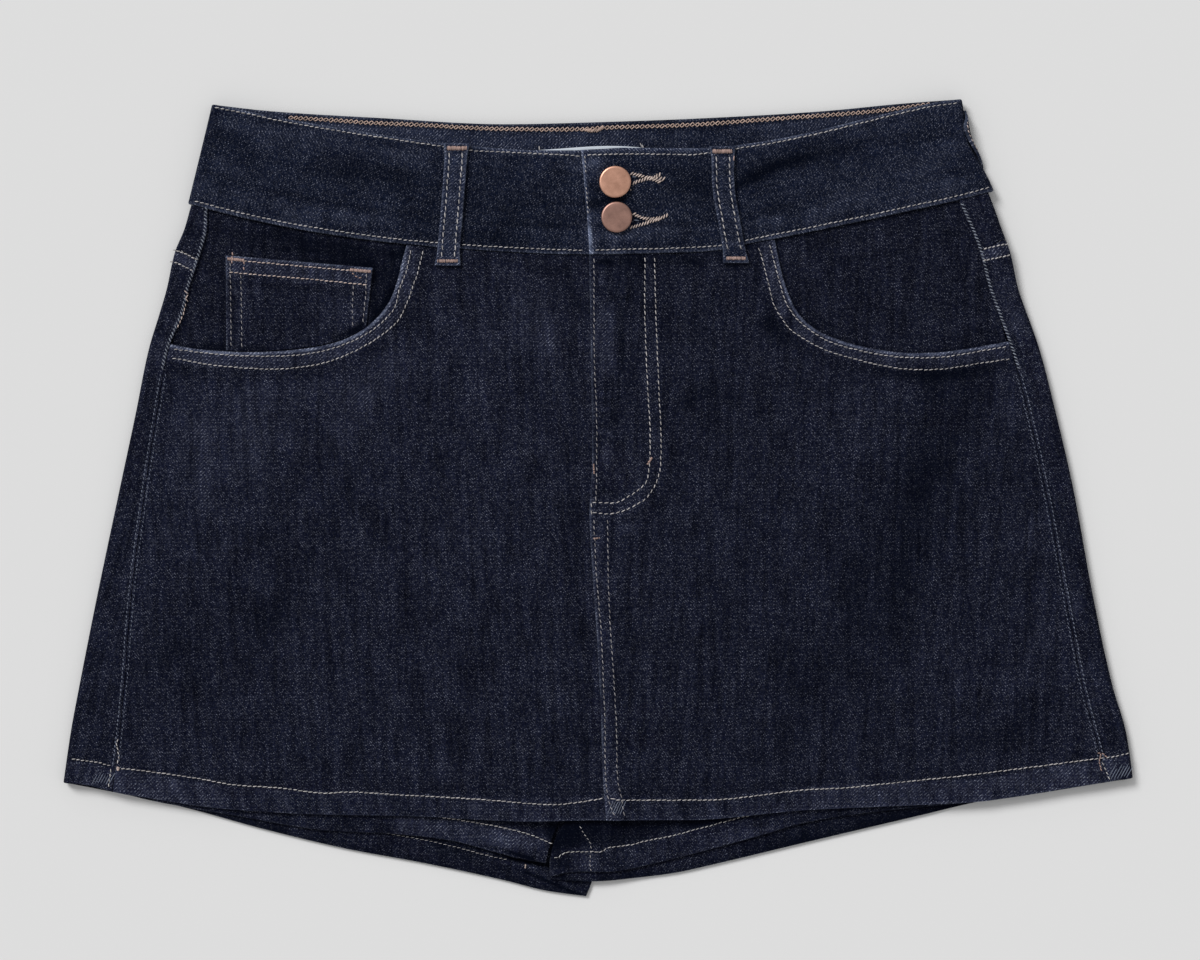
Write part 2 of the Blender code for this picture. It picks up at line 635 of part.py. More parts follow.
def back_loop(name, x, run_out):
    """A belt loop below the waistband's back, flat on the surface."""
    top, low = band_back_top(x) - LOOP_INSET, band_back_low(x) - LOOP_TAIL
    rows = []
    for i in range(LOOP_STEPS + 1):
        down = i / LOOP_STEPS
        middle = x + run_out * down
        rows.append([(middle + LOOP_WIDTH * (share - 0.5), mix(top, low, down), 0.0) for share in (0, 1)])
    wall(name, rows, [LOOP_THICK] * len(rows), False, DENIM)


def side_loop(name):
    """The back loop at the left side fold: it comes round the waistband and just shows from above."""
    off = LAYER_GAP + LOOP_THICK
    top, low = BAND_BACK_TOP[-1], BAND_BACK_LOW[-1]
    length_down = top.y - low.y
    arcs = [mix(LOOP_SIDE_ARC, LOOP_SIDE_ARC - LOOP_WIDTH, i / 8) for i in range(9)]

    def band_fold(edge, arc):
        return round_fold(1, edge, arc, 2 * BAND_FOLD_MID, BAND_FOLD_MID)

    def point(arc, down):
        y = mix(top.y - LOOP_INSET, low.y - LOOP_TAIL, down)
        edge = mix(top.x, low.x, min((top.y - y) / length_down, 1.0)) + LOOP_SIDE_CLEAR
        x, z = band_fold(edge, arc)
        ahead, behind = band_fold(edge, arc + 0.2), band_fold(edge, arc - 0.2)
        run = (ahead[0] - behind[0], ahead[1] - behind[1])
        length = math.hypot(*run)
        return x + run[1] / length * off, y, z - run[0] / length * off + WAIST_LIFT

    rows = [[point(arc, i / LOOP_STEPS) for arc in arcs] for i in range(LOOP_STEPS + 1)]
    wall(name, rows, [LOOP_THICK] * len(rows), True, DENIM)


def belt_loops():
    front_loop("belt_loop_front_right", (-75.0, 187.2), (-79.8, 124.0), False)
    front_loop("belt_loop_front_left", (66.0, 185.4), (72.0, 125.0), True)
    back_loop("belt_loop_back_right", -186.0, -8.0)
    back_loop("belt_loop_back_centre", 0.0, 0.0)
    side_loop("belt_loop_back_left")


def label():
    """A bare woven label on the inside of the waistband's back."""
    level = BAND + LAYER_GAP + LABEL_THICK
    rows = [
        [(mix(LABEL.left, LABEL.right, i / 6), y, level + waist_lift(y)) for i in range(7)]
        for y in (LABEL.top, (LABEL.top + LABEL.low) / 2, LABEL.low)
    ]
    wall("label", rows, [LABEL_THICK] * len(rows), True, SATIN)


def button(name, x, y):
    """A tack button: a turned cap with a rolled rim, on a short neck."""
    seat = band_over_level(x) + waist_lift(y) + LAYER_GAP
    shape = bmesh.new()
    profile = [shape.verts.new((r * MM, 0, z * MM)) for r, z in BUTTON_PROFILE]
    edges = [shape.edges.new(pair) for pair in zip(profile, profile[1:])]
    bmesh.ops.spin(
        shape, geom=profile + edges, cent=(0, 0, 0), axis=(0, 0, 1), angle=2 * math.pi,
        steps=TURNED_STEPS, use_merge=True,
    )
    bmesh.ops.remove_doubles(shape, verts=shape.verts, dist=0.00001)
    bmesh.ops.recalc_face_normals(shape, faces=shape.faces)
    made = add_object(name, shape, COPPER)
    made.data.shade_smooth()
    made.data.set_sharp_from_angle(angle=math.radians(40))
    made.location = (x * MM, y * MM, seat * MM)


def main():
    for old in list(bpy.data.objects):
        bpy.data.objects.remove(old)
    backs()
    shorts_fronts()
    facings()
    coin_pocket()
    skirt_fronts()
    waistband()
    label()
    belt_loops()
    button("button_upper", 8.8, 167.4)
    button("button_lower", 9.6, 148.8)


main()
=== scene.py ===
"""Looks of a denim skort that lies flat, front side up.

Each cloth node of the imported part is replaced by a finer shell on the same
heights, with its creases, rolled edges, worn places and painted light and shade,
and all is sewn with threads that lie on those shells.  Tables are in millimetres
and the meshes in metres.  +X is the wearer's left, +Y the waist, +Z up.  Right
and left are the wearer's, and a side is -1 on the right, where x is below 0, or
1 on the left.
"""

import math

import bmesh
import bpy
import numpy as np
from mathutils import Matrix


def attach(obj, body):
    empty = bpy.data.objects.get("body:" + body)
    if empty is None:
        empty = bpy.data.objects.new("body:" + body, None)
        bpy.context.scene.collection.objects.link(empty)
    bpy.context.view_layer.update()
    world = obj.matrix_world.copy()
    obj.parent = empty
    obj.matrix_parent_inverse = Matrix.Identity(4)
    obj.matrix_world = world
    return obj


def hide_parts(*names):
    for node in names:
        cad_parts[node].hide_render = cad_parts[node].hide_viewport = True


MM = 0.001

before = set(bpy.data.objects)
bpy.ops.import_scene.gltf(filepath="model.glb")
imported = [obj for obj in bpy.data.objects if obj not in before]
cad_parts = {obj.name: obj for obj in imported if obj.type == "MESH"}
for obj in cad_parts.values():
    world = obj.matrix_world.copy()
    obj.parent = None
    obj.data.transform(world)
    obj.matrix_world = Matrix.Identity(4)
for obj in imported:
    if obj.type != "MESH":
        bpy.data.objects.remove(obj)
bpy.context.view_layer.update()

# ------------------------------------------------------------------ the cut
CLOTH = 1.0            # one layer of denim
BAND = 1.8             # the doubled waistband
SEAM_GAP = 0.3
LAYER_GAP = 0.3
HEM_DEPTH = 12.5
HEM_STEP = 0.8
HEM_RAISE = 0.6

FOLD_REACH = 3.2
FOLD_MID = 2.8
FOLD_ARC = math.pi / 2 * math.sqrt((FOLD_REACH ** 2 + FOLD_MID ** 2) / 2)
SIDE_LEVEL = 5.6
SIDE_RISE = (4.0, 40.0)

LOOP_WIDTH = 12.0
LOOP_THICK = 1.5
LOOP_ARCH = 0.4
LOOP_INSET = 1.0
LOOP_TAIL = 7.0
LOOP_SIDE_ARC = 2.0
LOOP_SIDE_CLEAR = 0.25
WAIST_LIFT = LOOP_THICK + LAYER_GAP
WAIST_LIFT_RUN = (88.0, 138.0)

LABEL_X = (-31.5, 24.6)
LABEL_Y = (162.0, 186.4)
LABEL_THICK = 0.6

FLY_WIDTH = 34.0
FLY_END = -8.0
UNDERLAP = 8.0
LAP_RISE = CLOTH + LAYER_GAP
LAP_RUN = 7.0
LAP_EASE = 13.0
LAP_HEM_RUN = (128.0, 152.0)
BAND_UNDERLAP = 30.0
BAND_HEIGHT = 53.0
BAND_UNDER_RUN, BAND_OVER_RUN = 235.0, 200.0    # about how long its front is, from each side fold
BACK_WIDTH = 270.0      # about how wide a back lies flat
FACING_LAP = 11.0

CROTCH_Y = -150.0
LEG_LIFT = CLOTH + HEM_RAISE + LAYER_GAP
LEG_LIFT_RUN_X = (2.0, 34.0)
LEG_LIFT_RUN_Y = (110.0, 150.0)
CORNER_LIFT = 3.2
CORNER_RUN_X = (0.0, 36.0)
CORNER_RUN_Y = (173.0, 190.0)

# y, then x of the right fold, right seam, left seam and left fold
SIDES = [
    (165, -213, -204, 188, 205.5), (153, -216.5, -206.8, 192.6, 210), (142, -219.7, -207.2, 197.5, 213.9),
    (131, -224.3, -210, 201.5, 218), (110, -229.2, -217, 207.2, 222.9), (98, -232.8, -219.9, 211.6, 227.2),
    (80, -238.3, -227.3, 218.2, 233.6), (45, -245.5, -233.9, 228, 242.7), (5, -254, -240.2, 236.8, 251.9),
    (-50, -265.6, -247.4, 247.2, 262), (-100, -275.5, -251.4, 256.7, 272.8),
    (-123, -279.8, -253.7, 262.5, 279.6), (-154, -284.3, -257.3, 270.5, 284.3),
]
BAND_BACK_TOP = [
    (-204.8, 208.6), (-177, 205.4), (-114, 201.4), (-50, 198.2), (0, 199.3), (56, 201.4), (119, 205.1),
    (162, 209.2), (193.5, 211.5),
]
BAND_BACK_LOW = [(-217.6, 155.8), (-150, 149.5), (0, 144.7), (140, 153), (209.8, 162.7)]
BAND_FRONT_TOP = [
    (-204.8, 208.6), (-167, 201.1), (-133, 195.3), (-84, 188.2), (-43, 184.7), (-12, 184.2), (0, 184.7),
    (14, 185.4), (50, 185.3), (94, 190), (124, 196.6), (154, 204), (176, 209), (193.5, 211.5),
]
BAND_FRONT_LOW = [
    (-217.6, 155.8), (-192, 149.2), (-162, 142.8), (-133, 138.1), (-103, 134.4), (-72, 131.7), (-8, 128.8),
    (35, 129.6), (64, 131.2), (79, 134.4), (109, 140.2), (139, 146.5), (169, 152.9), (191, 157.7),
    (209.8, 162.7),
]
YOKE_LOW = [(-224, 131.5), (-150, 122), (0, 110), (150, 126), (216, 137)]
YOKE_WRAP_DROP = 4.0

# Both pocket mouths, and the coin pocket's corners: its outer side is the one at the side seam
MOUTH_RIGHT_SIDE = [
    (-227, 81.6), (-216, 79.4), (-204.8, 78.2), (-193, 77.5), (-182, 77.4), (-168, 78), (-154, 79.5),
    (-143, 81.5), (-133.8, 84.5), (-125, 89.2), (-118, 95), (-112.5, 101.5), (-109, 108), (-106.2, 116.5),
    (-104, 125.6), (-101.6, 133.9),
]
MOUTH_LEFT_SIDE = [
    (217.6, 83), (210, 81.6), (202.7, 80.4), (192, 78.6), (182, 77.3), (172, 76.9), (162, 77), (151, 78.2),
    (140, 80.3), (130, 83), (121, 86.4), (112.5, 91.4), (106, 98), (102, 105.5), (97.8, 117), (95.2, 128),
    (93.4, 136.6),
]
COIN_OUTER_X, COIN_INNER_TOP_X, COIN_INNER_LOW_X = -197.4, -119.6, -123.0
COIN_OUTER_Y, COIN_INNER_Y = 128.5, 121.9
COIN_WIDTH, COIN_DEPTH = 76.8, 44.0

CENTRE_FRONT = [
    (-5, 128), (-3.4, 19), (-4.8, -8), (-3.2, -40), (-0.8, -75), (1.4, -118), (2.2, -146), (4, -171),
]
SKIRT_HEM = [
    (-284.3, -151), (-270, -152.4), (-257, -155.8), (-238, -159), (-210, -163.4), (-160, -167.2),
    (-98, -168.6), (-38, -171.3), (-1, -170.6), (48, -170.6), (107, -165.6), (171, -162.6), (203, -160.8),
    (224, -157.9), (256, -152.6), (284.3, -148.4),
]
RIGHT_LEG_BACK_HEM = [
    (-284.3, -151), (-262, -155.3), (-220, -164.3), (-177, -176), (-135, -186), (-92, -194), (-50, -203),
    (-29, -208.3), (-6.6, -211.5),
]
LEFT_LEG_BACK_HEM = [
    (-26, -202), (-3, -203.4), (20, -201.6), (41, -199), (61, -194.6), (107, -183.6), (171, -168.5),
    (203, -161), (247, -154.2), (284.3, -148.4),
]
RIGHT_LEG_FRONT_HEM = [
    (-257, -155.5), (-240, -160), (-220, -163.9), (-192, -168.8), (-146, -176.4), (-110, -178.3),
    (-78, -181.9), (-50, -189.2), (-27.8, -193.5),
]
LEFT_LEG_FRONT_HEM = [
    (-26.2, -200.9), (-15, -198.4), (10, -198), (27, -194.6), (54, -187.9), (86, -179.1), (107, -173),
    (139, -167.6), (171, -164), (210, -160.2), (270, -150.8),
]
# y, then x of the right back, left back, right front and left front leg
INNER_LEGS = [
    (170.0, -0.15, 0.15, -0.15, 0.15),
    (CROTCH_Y + 4, -0.15, 0.15, -0.15, 0.15),
    (CROTCH_Y - 6, -0.2, -1.5, -6.0, -4.6),
    (-173.0, -1.6, -11.0, -20.8, -18.9),
    (-193.5, -2.6, -22.5, -27.8, -25.8),
    (-203.0, -3.4, -26.0, -28.0, -25.8),
    (-211.5, -6.6, -26.0, -28.0, -25.8),
]

FRONT_LEVELS = [(-150, 5.2), (-95, 4.4), (10, 4.3), (62, 4.9), (170, 4.9)]
SHORTS_LEVELS = [(-150, 2.9), (-100, 2.3), (170, 2.3)]
BAND_UNDER_LEVELS = [(-204, 6.0), (-170, 5.6), (-100, 5.1), (-20, 4.8), (40, 4.8)]
BAND_OVER_LEVELS = [(-20, 6.9), (31, 6.9), (38, 6.5), (52, 5.5), (100, 5.3), (165, 5.6), (193, 6)]
BAND_FOLD_MID = 3.0
CROTCH_RISE = 1.7
CROTCH_MIDDLE = -8.0
CROTCH_RUN = (16.0, 58.0)
CROTCH_RUN_Y = (95.0, 148.0)

# x and y of both ends, width and height
SOFT_FOLDS = [
    (196, 40, 128, -70, 17, 0.9), (236, -30, 190, -110, 13, 0.7), (-92, 40, -140, -20, 15, 0.7),
    (-170, -10, -232, -90, 17, 0.8), (62, 60, 30, 8, 13, 0.6), (-60, -40, -96, -120, 18, 0.5),
    (96, -60, 70, -130, 16, 0.5),
]

# Distances from an edge at which a shell has a row or column of points
EDGE = (0, 0.12, 0.32, 0.6, 1.0, 1.5, 2.1, 2.7, 3.4, 4.2)
WIDE_EDGE = EDGE + (5.0, 5.8, 6.6, 7.4, 8.2, 8.9, 9.6, 10.4, 11.2, 12.0, 12.8, 13.6, 14.8, 16.2)
PLAIN_EDGE = (0, 0.3, 0.8, 1.6)

# ------------------------------------------------------- creases, wear and shade
# Soft ridges and troughs along lines: x and y of both ends, width, height and tone,
# which makes the cloth paler (over 0) or darker. The darker tone is mostly painted
# shade, in troughs, under edges, round loops and buttons and in openings, and partly
# dye; the paler tone is wear, and partly painted light on ridges.
FRONT_MARKS = [
    (170, 60, 206, 54, 8, -0.4, -0.42), (192, 52, 184, 26, 11, -0.4, -0.4),
    (176, 24, 164, -14, 11, -0.5, -0.48), (150, -24, 132, -58, 17, -0.5, -0.42),
    (166, -20, 160, -50, 8, -0.3, -0.32), (138, -58, 124, -76, 9, -0.3, -0.28),
    (116, -84, 100, -102, 12, -0.3, -0.42), (246, -106, 222, -120, 8, -0.4, -0.45),
    (222, -122, 200, -130, 8, -0.3, -0.32), (238, -34, 226, -48, 5, -0.3, -0.32),
    (216, 64, 219, 44, 6, 0.3, 0.3), (224, -94, 210, -106, 7, 0.3, 0.2), (50, 18, 51, 0, 5, 0.25, 0.25),
    (64, -34, 66, -54, 6, 0.25, 0.28), (46, 124, 56, 123, 3, -0.3, -0.35),
    (-124, 34, -134, -2, 7, -0.4, -0.42), (-172, -6, -184, -32, 8, -0.4, -0.38),
    (-164, -56, -186, -66, 8, -0.4, -0.46), (-192, -32, -196, -46, 5, -0.2, -0.3),
    (-212, -72, -240, -90, 13, -0.5, -0.45), (-150, -10, -158, -50, 7, -0.2, -0.22),
    (-212, 62, -218, 10, 14, 0.3, 0.28), (-160, 56, -170, 26, 10, 0.3, 0.2),
    (-236, -20, -242, -56, 7, 0.2, 0.22), (-65, -18, -66, -44, 5, 0.2, 0.28),
    (-71, 52, -72, 14, 4, 0.2, 0.24), (-28, 104, -26, 70, 6, 0.2, 0.3),
    (-16, 122, -13, 104, 2.5, -0.3, -0.4), (-60, 96, -58, 40, 9, 0.25, 0.2), (-27, 92, -25, 74, 5, 0.3, 0.4),
    (-14, 84, -16, 56, 4, -0.3, -0.35), (-12, 103, -8, 100, 4, -0.3, -0.5),
    (-38, 124, -22, 120, 2.2, -0.35, -0.5), (-18, 20, -12, 18, 2.2, -0.3, -0.45),
    (-10, -8, -9, -46, 2.4, -0.2, -0.35), (-112, 4, -106, -60, 7, 0.2, 0.14),
    (-44, -2, -38, -70, 8, 0.25, 0.16), (-80, -96, -84, -130, 9, 0.2, 0.12),
    (44, 49, 55, 57, 4.4, -0.4, -0.55), (55, 57, 62, 55, 4, -0.35, -0.45), (66, 52, 74, 49, 4, -0.3, -0.4),
    (68, 112, 82, 96, 7, 0.35, 0.3), (84, 96, 96, 80, 4.5, -0.3, -0.4), (60, 12, 66, -60, 9, 0.25, 0.12),
    (96, -2, 88, -90, 10, 0.25, 0.16), (40, -60, 44, -120, 7, -0.2, -0.14),
    (186, -70, 178, -130, 6, -0.2, -0.16), (150, 50, 140, 20, 8, 0.2, 0.12),
    (118, 48, 116, -14, 8, 0.2, 0.1), (40, 2, 36, -34, 5, 0.2, 0.14), (26, 34, 33, 30, 3, 0.3, 0.3),
    (7.5, -150, 9.5, -171, 4.6, 0.2, 0.6), (-66, -161, -62, -170, 4.5, 0.2, 0.4),
    (-10, -160, -6, -170, 4, -0.2, -0.3), (13, -158, 19, -166, 2, -0.3, -0.6),
    (130, 120, 140, -150, 110, 0, -0.06), (-130, 120, -140, -150, 90, 0, 0.12),
    (150, -80, 186, 50, 20, -0.2, -0.3), (-190, -80, -140, -20, 18, -0.2, -0.28),
    (108, -140, 72, -34, 14, -0.1, -0.28), (-10, -118, -4, -150, 7, 0, -0.25),
    (-256, -146, -222, -152, 9, 0, 0.5), (222, -150, 258, -144, 9, 0, 0.6),
    (-142, 22, -108, 78, 10, 0.15, 0.45), (142, -140, 226, -125, 9.8, -0.1, -0.28),
    (4, 122, 60, 123, 6.5, -0.15, -0.36), (-186, 8, -180, 66, 10, 0.1, 0.4),
    (35, 50, 85, 49, 9.4, -0.1, -0.28), (45, 77, 80, 107, 9.2, -0.1, -0.3), (10, 35, 17, 103, 5.5, 0, -0.26),
    (129, -160, 197, -153, 5, 0, 0.5), (-224, 70, -206, 82, 5, 0, 0.35), (-30, 79, -44, 121, 10, 0.1, 0.38),
    (30, -80, 40, -2, 6.5, -0.1, -0.25), (-207, -10, -214, 39, 6, 0.1, 0.4),
    (-234, -97, -225, -67, 8.3, -0.1, -0.3), (-107, -105, -75, -118, 9.8, -0.1, -0.26),
    (201, -70, 227, -41, 7.3, -0.1, -0.28), (-157, -125, -154, -88, 6, 0, -0.26),
    (28, -113, 25, -83, 4.5, 0, -0.3), (-15, -82, 12, -57, 7, 0, -0.25),
    (-52, -170, -45, -129, 4.2, 0, -0.25), (-6, 67, -3, 96, 4.4, 0.1, 0.45),
    (-215, -32, -187, -22, 4.9, 0.1, 0.4), (228, -31, 230, -8, 4.3, 0.1, 0.45),
    (-120, -132, -138, -87, 3.8, 0, -0.25), (3, -103, 10, -83, 5.4, 0, -0.25),
    (218, 33, 211, 54, 4.1, 0.1, 0.45), (20, -13, 26, 14, 5, 0.1, 0.38), (-228, -25, -228, -6, 6, 0, 0.35),
    (-28, -150, -24, -129, 3, 0, 0.4), (-94, 116, -81, 122, 4.6, 0.1, 0.4), (112, -35, 115, -15, 4, 0, 0.35),
    (-79, -24, -79, -1, 3.6, 0, 0.35), (131, -37, 168, 31, 8, 0, -0.28), (138, -116, 130, -77, 8, 0, -0.3),
    (15, -158, 8, -113, 5, 0, -0.32), (106, -151, 111, -100, 5, 0, -0.3), (169, 65, 208, 68, 6, -0.1, -0.32),
    (69, -108, 74, -56, 3, 0, -0.28), (-194, -80, -208, -48, 8, 0, -0.28),
    (-177, -66, -143, -70, 6, 0, -0.28), (-149, -49, -153, -6, 4, 0, -0.28),
    (-129, -28, -133, 11, 5, 0, -0.3), (171, -50, 185, -15, 4, 0, -0.28), (82, -81, 116, -80, 5, 0, -0.25),
    (60, 131, 74, 122, 5, 0, -0.6), (0, 125, 56, 126, 2.4, 0, -0.5), (232, -88, 239, -38, 5.5, 0, 0.4),
    (147, 26, 149, 64, 6, 0, 0.35), (110, 56, 140, 39, 5.5, 0, 0.35), (-154, 60, -120, 53, 7, 0, 0.35),
    (193, -111, 185, -84, 4.4, 0, 0.4), (-251, -6, -244, 38, 3, 0, 0.4), (88, 96, 100, 82, 5, -0.3, -0.6),
    (148, 66, 196, 66, 4, -0.2, -0.4), (-236, -30, -170, 70, 32, 0, 0.24), (-145, 84, -24, 89, 24, 0, 0.2),
    (-262, -141, -185, -143, 13, 0, 0.28), (-87, -48, -41, 50, 15, 0, 0.22),
    (136, -115, 151, -54, 16, 0, -0.18), (176, -12, 209, 23, 16, 0, -0.18), (112, 18, 146, 40, 14, 0, 0.22),
    (222, -27, 248, -5, 8, 0, 0.28), (181, -89, 231, -103, 12, 0, 0.2),
]
FLY_MARKS = [
    (4.5, 102, 5.5, 64, 5, 0.45, 0.7), (12.6, 102, 12.8, 66, 1.9, -0.5, -0.7),
    (-1, 124.5, 7, 124.5, 1.8, -0.5, -0.8), (6, 106, 17, 105, 2, -0.4, -0.6),
    (0, 115, 5, 113, 1.8, 0.3, 0.5), (0, 110, 8, 108, 1.6, -0.2, -0.3), (0, 58, 8, 58.5, 1.6, -0.4, -0.6),
    (0, 55, 7, 54, 1.4, 0.35, 0.6), (0, 50.5, 9, 50, 1.4, -0.35, -0.5), (0, 47.5, 7, 47, 1.4, 0.35, 0.6),
    (0, 44, 9, 43.5, 1.4, -0.4, -0.6), (0, 41, 6, 41, 1.3, 0.35, 0.7), (0, 36.5, 8, 33, 1.6, 0.35, 0.7),
    (1, 37.5, 10, 41, 1.4, -0.3, -0.5), (4, 28, 5.5, 18, 4, 0.4, 0.7), (11.2, 30, 11, 12, 1.8, -0.4, -0.55),
    (0, 3, 9, 2.5, 1.5, -0.3, -0.6), (16, 62, 18, 48, 3, -0.25, -0.4), (19, 92, 20, 74, 3, 0.2, 0.2),
    (27.5, 108, 28.5, 106, 2.6, 0.2, 0.5), (27.5, 93, 28.5, 92, 2.6, 0.2, 0.4),
    (29, 86, 29.5, 60, 2.6, 0.15, 0.25), (14, -22, 20, -21.5, 1.5, -0.3, -0.6),
    (8, -15, 22, -18, 4, 0.3, 0.4), (27, 4, 36, -14, 4, -0.3, -0.35), (12, 22, 22, 12, 5, 0.25, 0.3),
]
BAND_MARKS = [
    (-146, 176, -96, 166, 6, -0.5, -0.42), (-206, 194, -184, 189, 2.2, -0.35, -0.4),
    (-210, 172, -186, 164.5, 2, -0.3, -0.35), (-186, 164.5, -86, 145, 2, -0.3, -0.3),
    (-180, 170, -150, 164, 5, 0.3, 0.15), (-132, 158, -104, 155, 4, 0.25, 0.22),
    (-118, 184, -96, 180, 3, 0.2, 0.1), (-70, 145.5, -9, 144, 1.7, -0.4, -0.55),
    (-61, 140, -50, 136, 4.6, -0.35, -0.45), (-44, 170, -14, 167, 4, 0.2, 0.1),
    (73, 164, 95, 176.5, 3, -0.6, -0.7), (95, 176.5, 118, 182, 3.4, -0.6, -0.6),
    (118, 182, 152, 189, 3, -0.4, -0.42), (152, 189, 188, 194, 2.2, -0.3, -0.3),
    (-100, 161, -92, 160, 3, 0.25, 0.4), (17.4, 169.7, 24.5, 169.5, 0.9, -0.1, -1.2),
    (18.2, 147.2, 24.5, 146.9, 1.2, -0.1, -1.3), (18, 158.6, 19.4, 153.2, 1.2, -0.1, -0.8),
    (78, 149, 112, 154, 2.6, -0.35, -0.35), (98, 166, 168, 182, 7, 0.35, 0.16),
    (112, 158, 176, 172, 4, 0.25, 0.1), (-6, 154.5, 2, 156.5, 2.6, -0.6, -1.2),
    (2, 156.8, 14, 158.2, 2, -0.6, -1.2), (-5, 165, 2, 162.5, 1.8, -0.4, -0.6),
    (-3, 150, 4, 146, 2.6, 0.35, 0.5), (22, 160, 58, 166, 4, -0.3, -0.25), (28, 150, 56, 152, 4, 0.2, 0.12),
    (-3, 179, 1, 172, 4.5, 0.3, 0.55), (-2, 138, 12, 136, 4, 0.3, 0.3), (-210, 200, -20, 140, 30, 0, -0.12),
    (-5.4, 143, -4, 134, 1.5, 0.2, 0.9), (-2, 183.3, 60, 183.8, 1.3, 0.1, 0.5),
    (-60, 183.6, -12, 182.4, 1.2, 0.1, 0.5), (60, 178, 190, 205, 12, 0.1, 0.12),
    (60, 150, 190, 180, 16, 0.1, 0.14), (45, 161, 137, 186, 6.6, -0.15, -0.46),
    (-92, 139, -35, 137, 5, -0.1, -0.44), (-4, 128, -4, 154, 3, 0.1, 0.45),
    (-176, 137, -150, 150, 7, 0.1, 0.5), (107, 146, 145, 164, 4.5, 0.1, 0.45),
    (-17, 175, 6, 180, 4.5, 0.1, 0.45), (4, 139, 41, 142, 4.1, 0.15, 0.55),
    (-139, 148, -111, 150, 5, 0.1, 0.5), (-138, 173, -91, 171, 2.8, -0.15, -0.3),
    (-90, 151, -87, 166, 5, -0.1, -0.35), (83, 146, 98, 148, 3.6, 0.1, 0.5),
    (-204, 178, -189, 172, 4.3, 0.15, 0.45), (-55, 168, -52, 180, 4, 0, 0.4),
    (-151, 166, -131, 162, 2.7, 0.15, 0.45), (-171, 152, -166, 160, 2.6, 0.1, 0.5),
    (-94, 179, -87, 188, 3.4, 0, 0.35), (36, 173, 28, 183, 3.6, 0.1, 0.35),
    (-21, 154, -10, 145, 2.4, -0.15, -0.3), (-105, 149, -94, 148, 2, 0.1, 0.5),
    (-22, 165, -10, 164, 2.4, -0.15, -0.3), (-212, 160, -206, 172, 5, 0, 0.5),
    (150, 150, 196, 166, 9, 0, 0.3), (180, 176, 200, 200, 7, 0, 0.35), (-200, 196, -88, 176, 6, 0.1, 0.42),
    (74, 168, 112, 182, 7, 0, -0.3), (36, 160, 52, 172, 5, 0, -0.35), (160, 172, 178, 178, 6, 0, 0.4),
    (-205, 150, -150, 200, 20, 0, 0.25), (-8, 159, -4, 184, 8, 0, 0.3),
]
FACING_MARKS = [
    (-212, 81.5, -196, 80, 2.2, -0.2, -0.6), (-119, 92.5, -108.5, 110, 2.6, -0.2, -1),
    (-158, 126.2, -118, 122.6, 1.7, -0.2, -0.9), (-118.6, 120, -119.4, 98, 1.6, -0.2, -0.7),
    (-199.4, 126, -199.4, 84, 1.4, -0.2, -0.5), (-176, 140, -104, 128.6, 2.6, -0.2, -0.7),
    (112, 98.5, 128, 88, 2, -0.2, -0.6), (-190, 135, -164, 131, 3, -0.3, -0.5),
    (-160, 133, -118, 125, 3.4, -0.5, -0.8), (-118, 125, -108, 106, 6, -0.4, -0.5),
    (-206, 128, -211, 92, 5, 0.2, 0.2), (183, 140.5, 194, 139, 1.7, -0.4, -0.6),
    (126, 124, 138, 127, 2.2, -0.4, -0.45), (138, 127, 171, 131.5, 1.6, -0.35, -0.4),
    (188, 104.5, 209, 96.5, 1.8, -0.4, -0.4), (201, 89, 213, 86.5, 1.6, -0.4, -0.5),
    (120, 108, 150, 90, 9, 0.25, 0.14), (150, 118, 186, 106, 7, 0.2, 0.08),
    (110, 122, 118, 116, 4, 0.2, 0.3), (-195, 140, -176, 138.5, 3, -0.2, -0.6),
    (182, 131, 181, 146, 5, -0.1, -0.35), (-111, 126, -100, 133, 3.3, -0.2, -0.5),
    (-168, 132, -150, 131, 1.4, -0.1, -0.4), (151, 133, 161, 134, 2.6, -0.1, -0.35),
    (-116, 119, -105, 122, 4.5, -0.1, -0.4), (-209, 92, -205, 114, 3.8, 0, -0.3),
]
COIN_MARKS = [
    (-188, 108, -150, 112, 5, -0.2, -0.15), (-176, 92, -150, 98, 5, -0.25, -0.2),
    (-150, 96, -132, 102, 6, 0.25, 0.2), (-198, 79.4, -176, 79.2, 1.8, -0.2, -1),
    (-140, 84.5, -124, 91, 2.2, -0.2, -1.2), (-132, 86.5, -122, 95, 1.8, -0.2, -0.8),
    (-196, 118.4, -168, 115.8, 1.2, -0.1, -0.4), (-150, 112.8, -126, 111.2, 1.2, -0.1, -0.5),
    (-195, 89, -162, 87, 5, 0, -0.3), (-188, 107, -169, 114, 5, 0, 0.4),
]
WRAP_MARKS = [
    (-222, 146, -212, 136, 4, -0.3, -0.4), (-229, 108, -219, 98, 2.6, -0.35, -0.5),
    (-232, 98, -222, 88, 2, 0.3, 0.2), (-236, 92, -226, 84, 2, -0.3, -0.4),
    (212, 118, 222, 102, 4, -0.3, -0.3), (226, 76, 238, 60, 5, 0.25, 0.2), (238, 36, 248, 22, 3, -0.3, -0.3),
    (246, 6, 254, -4, 3, 0.3, 0.15), (-280, -146, -257, -150, 9, 0, 0.2), (262, -142, 284, -139, 9, 0, 0.45),
    (226, 84, 212, 120, 7, 0.1, 0.6), (-238, 68, -228, 86, 7, 0.1, 0.5), (243, 2, 236, 30, 4.7, 0, -0.3),
    (264, -110, 259, -88, 3.4, 0, 0.5), (-208, 150, -204, 132, 5, 0, 0.45),
    (252, -68, 256, -45, 3.9, 0, 0.4), (-262, -109, -256, -88, 3.3, 0, 0.4),
]
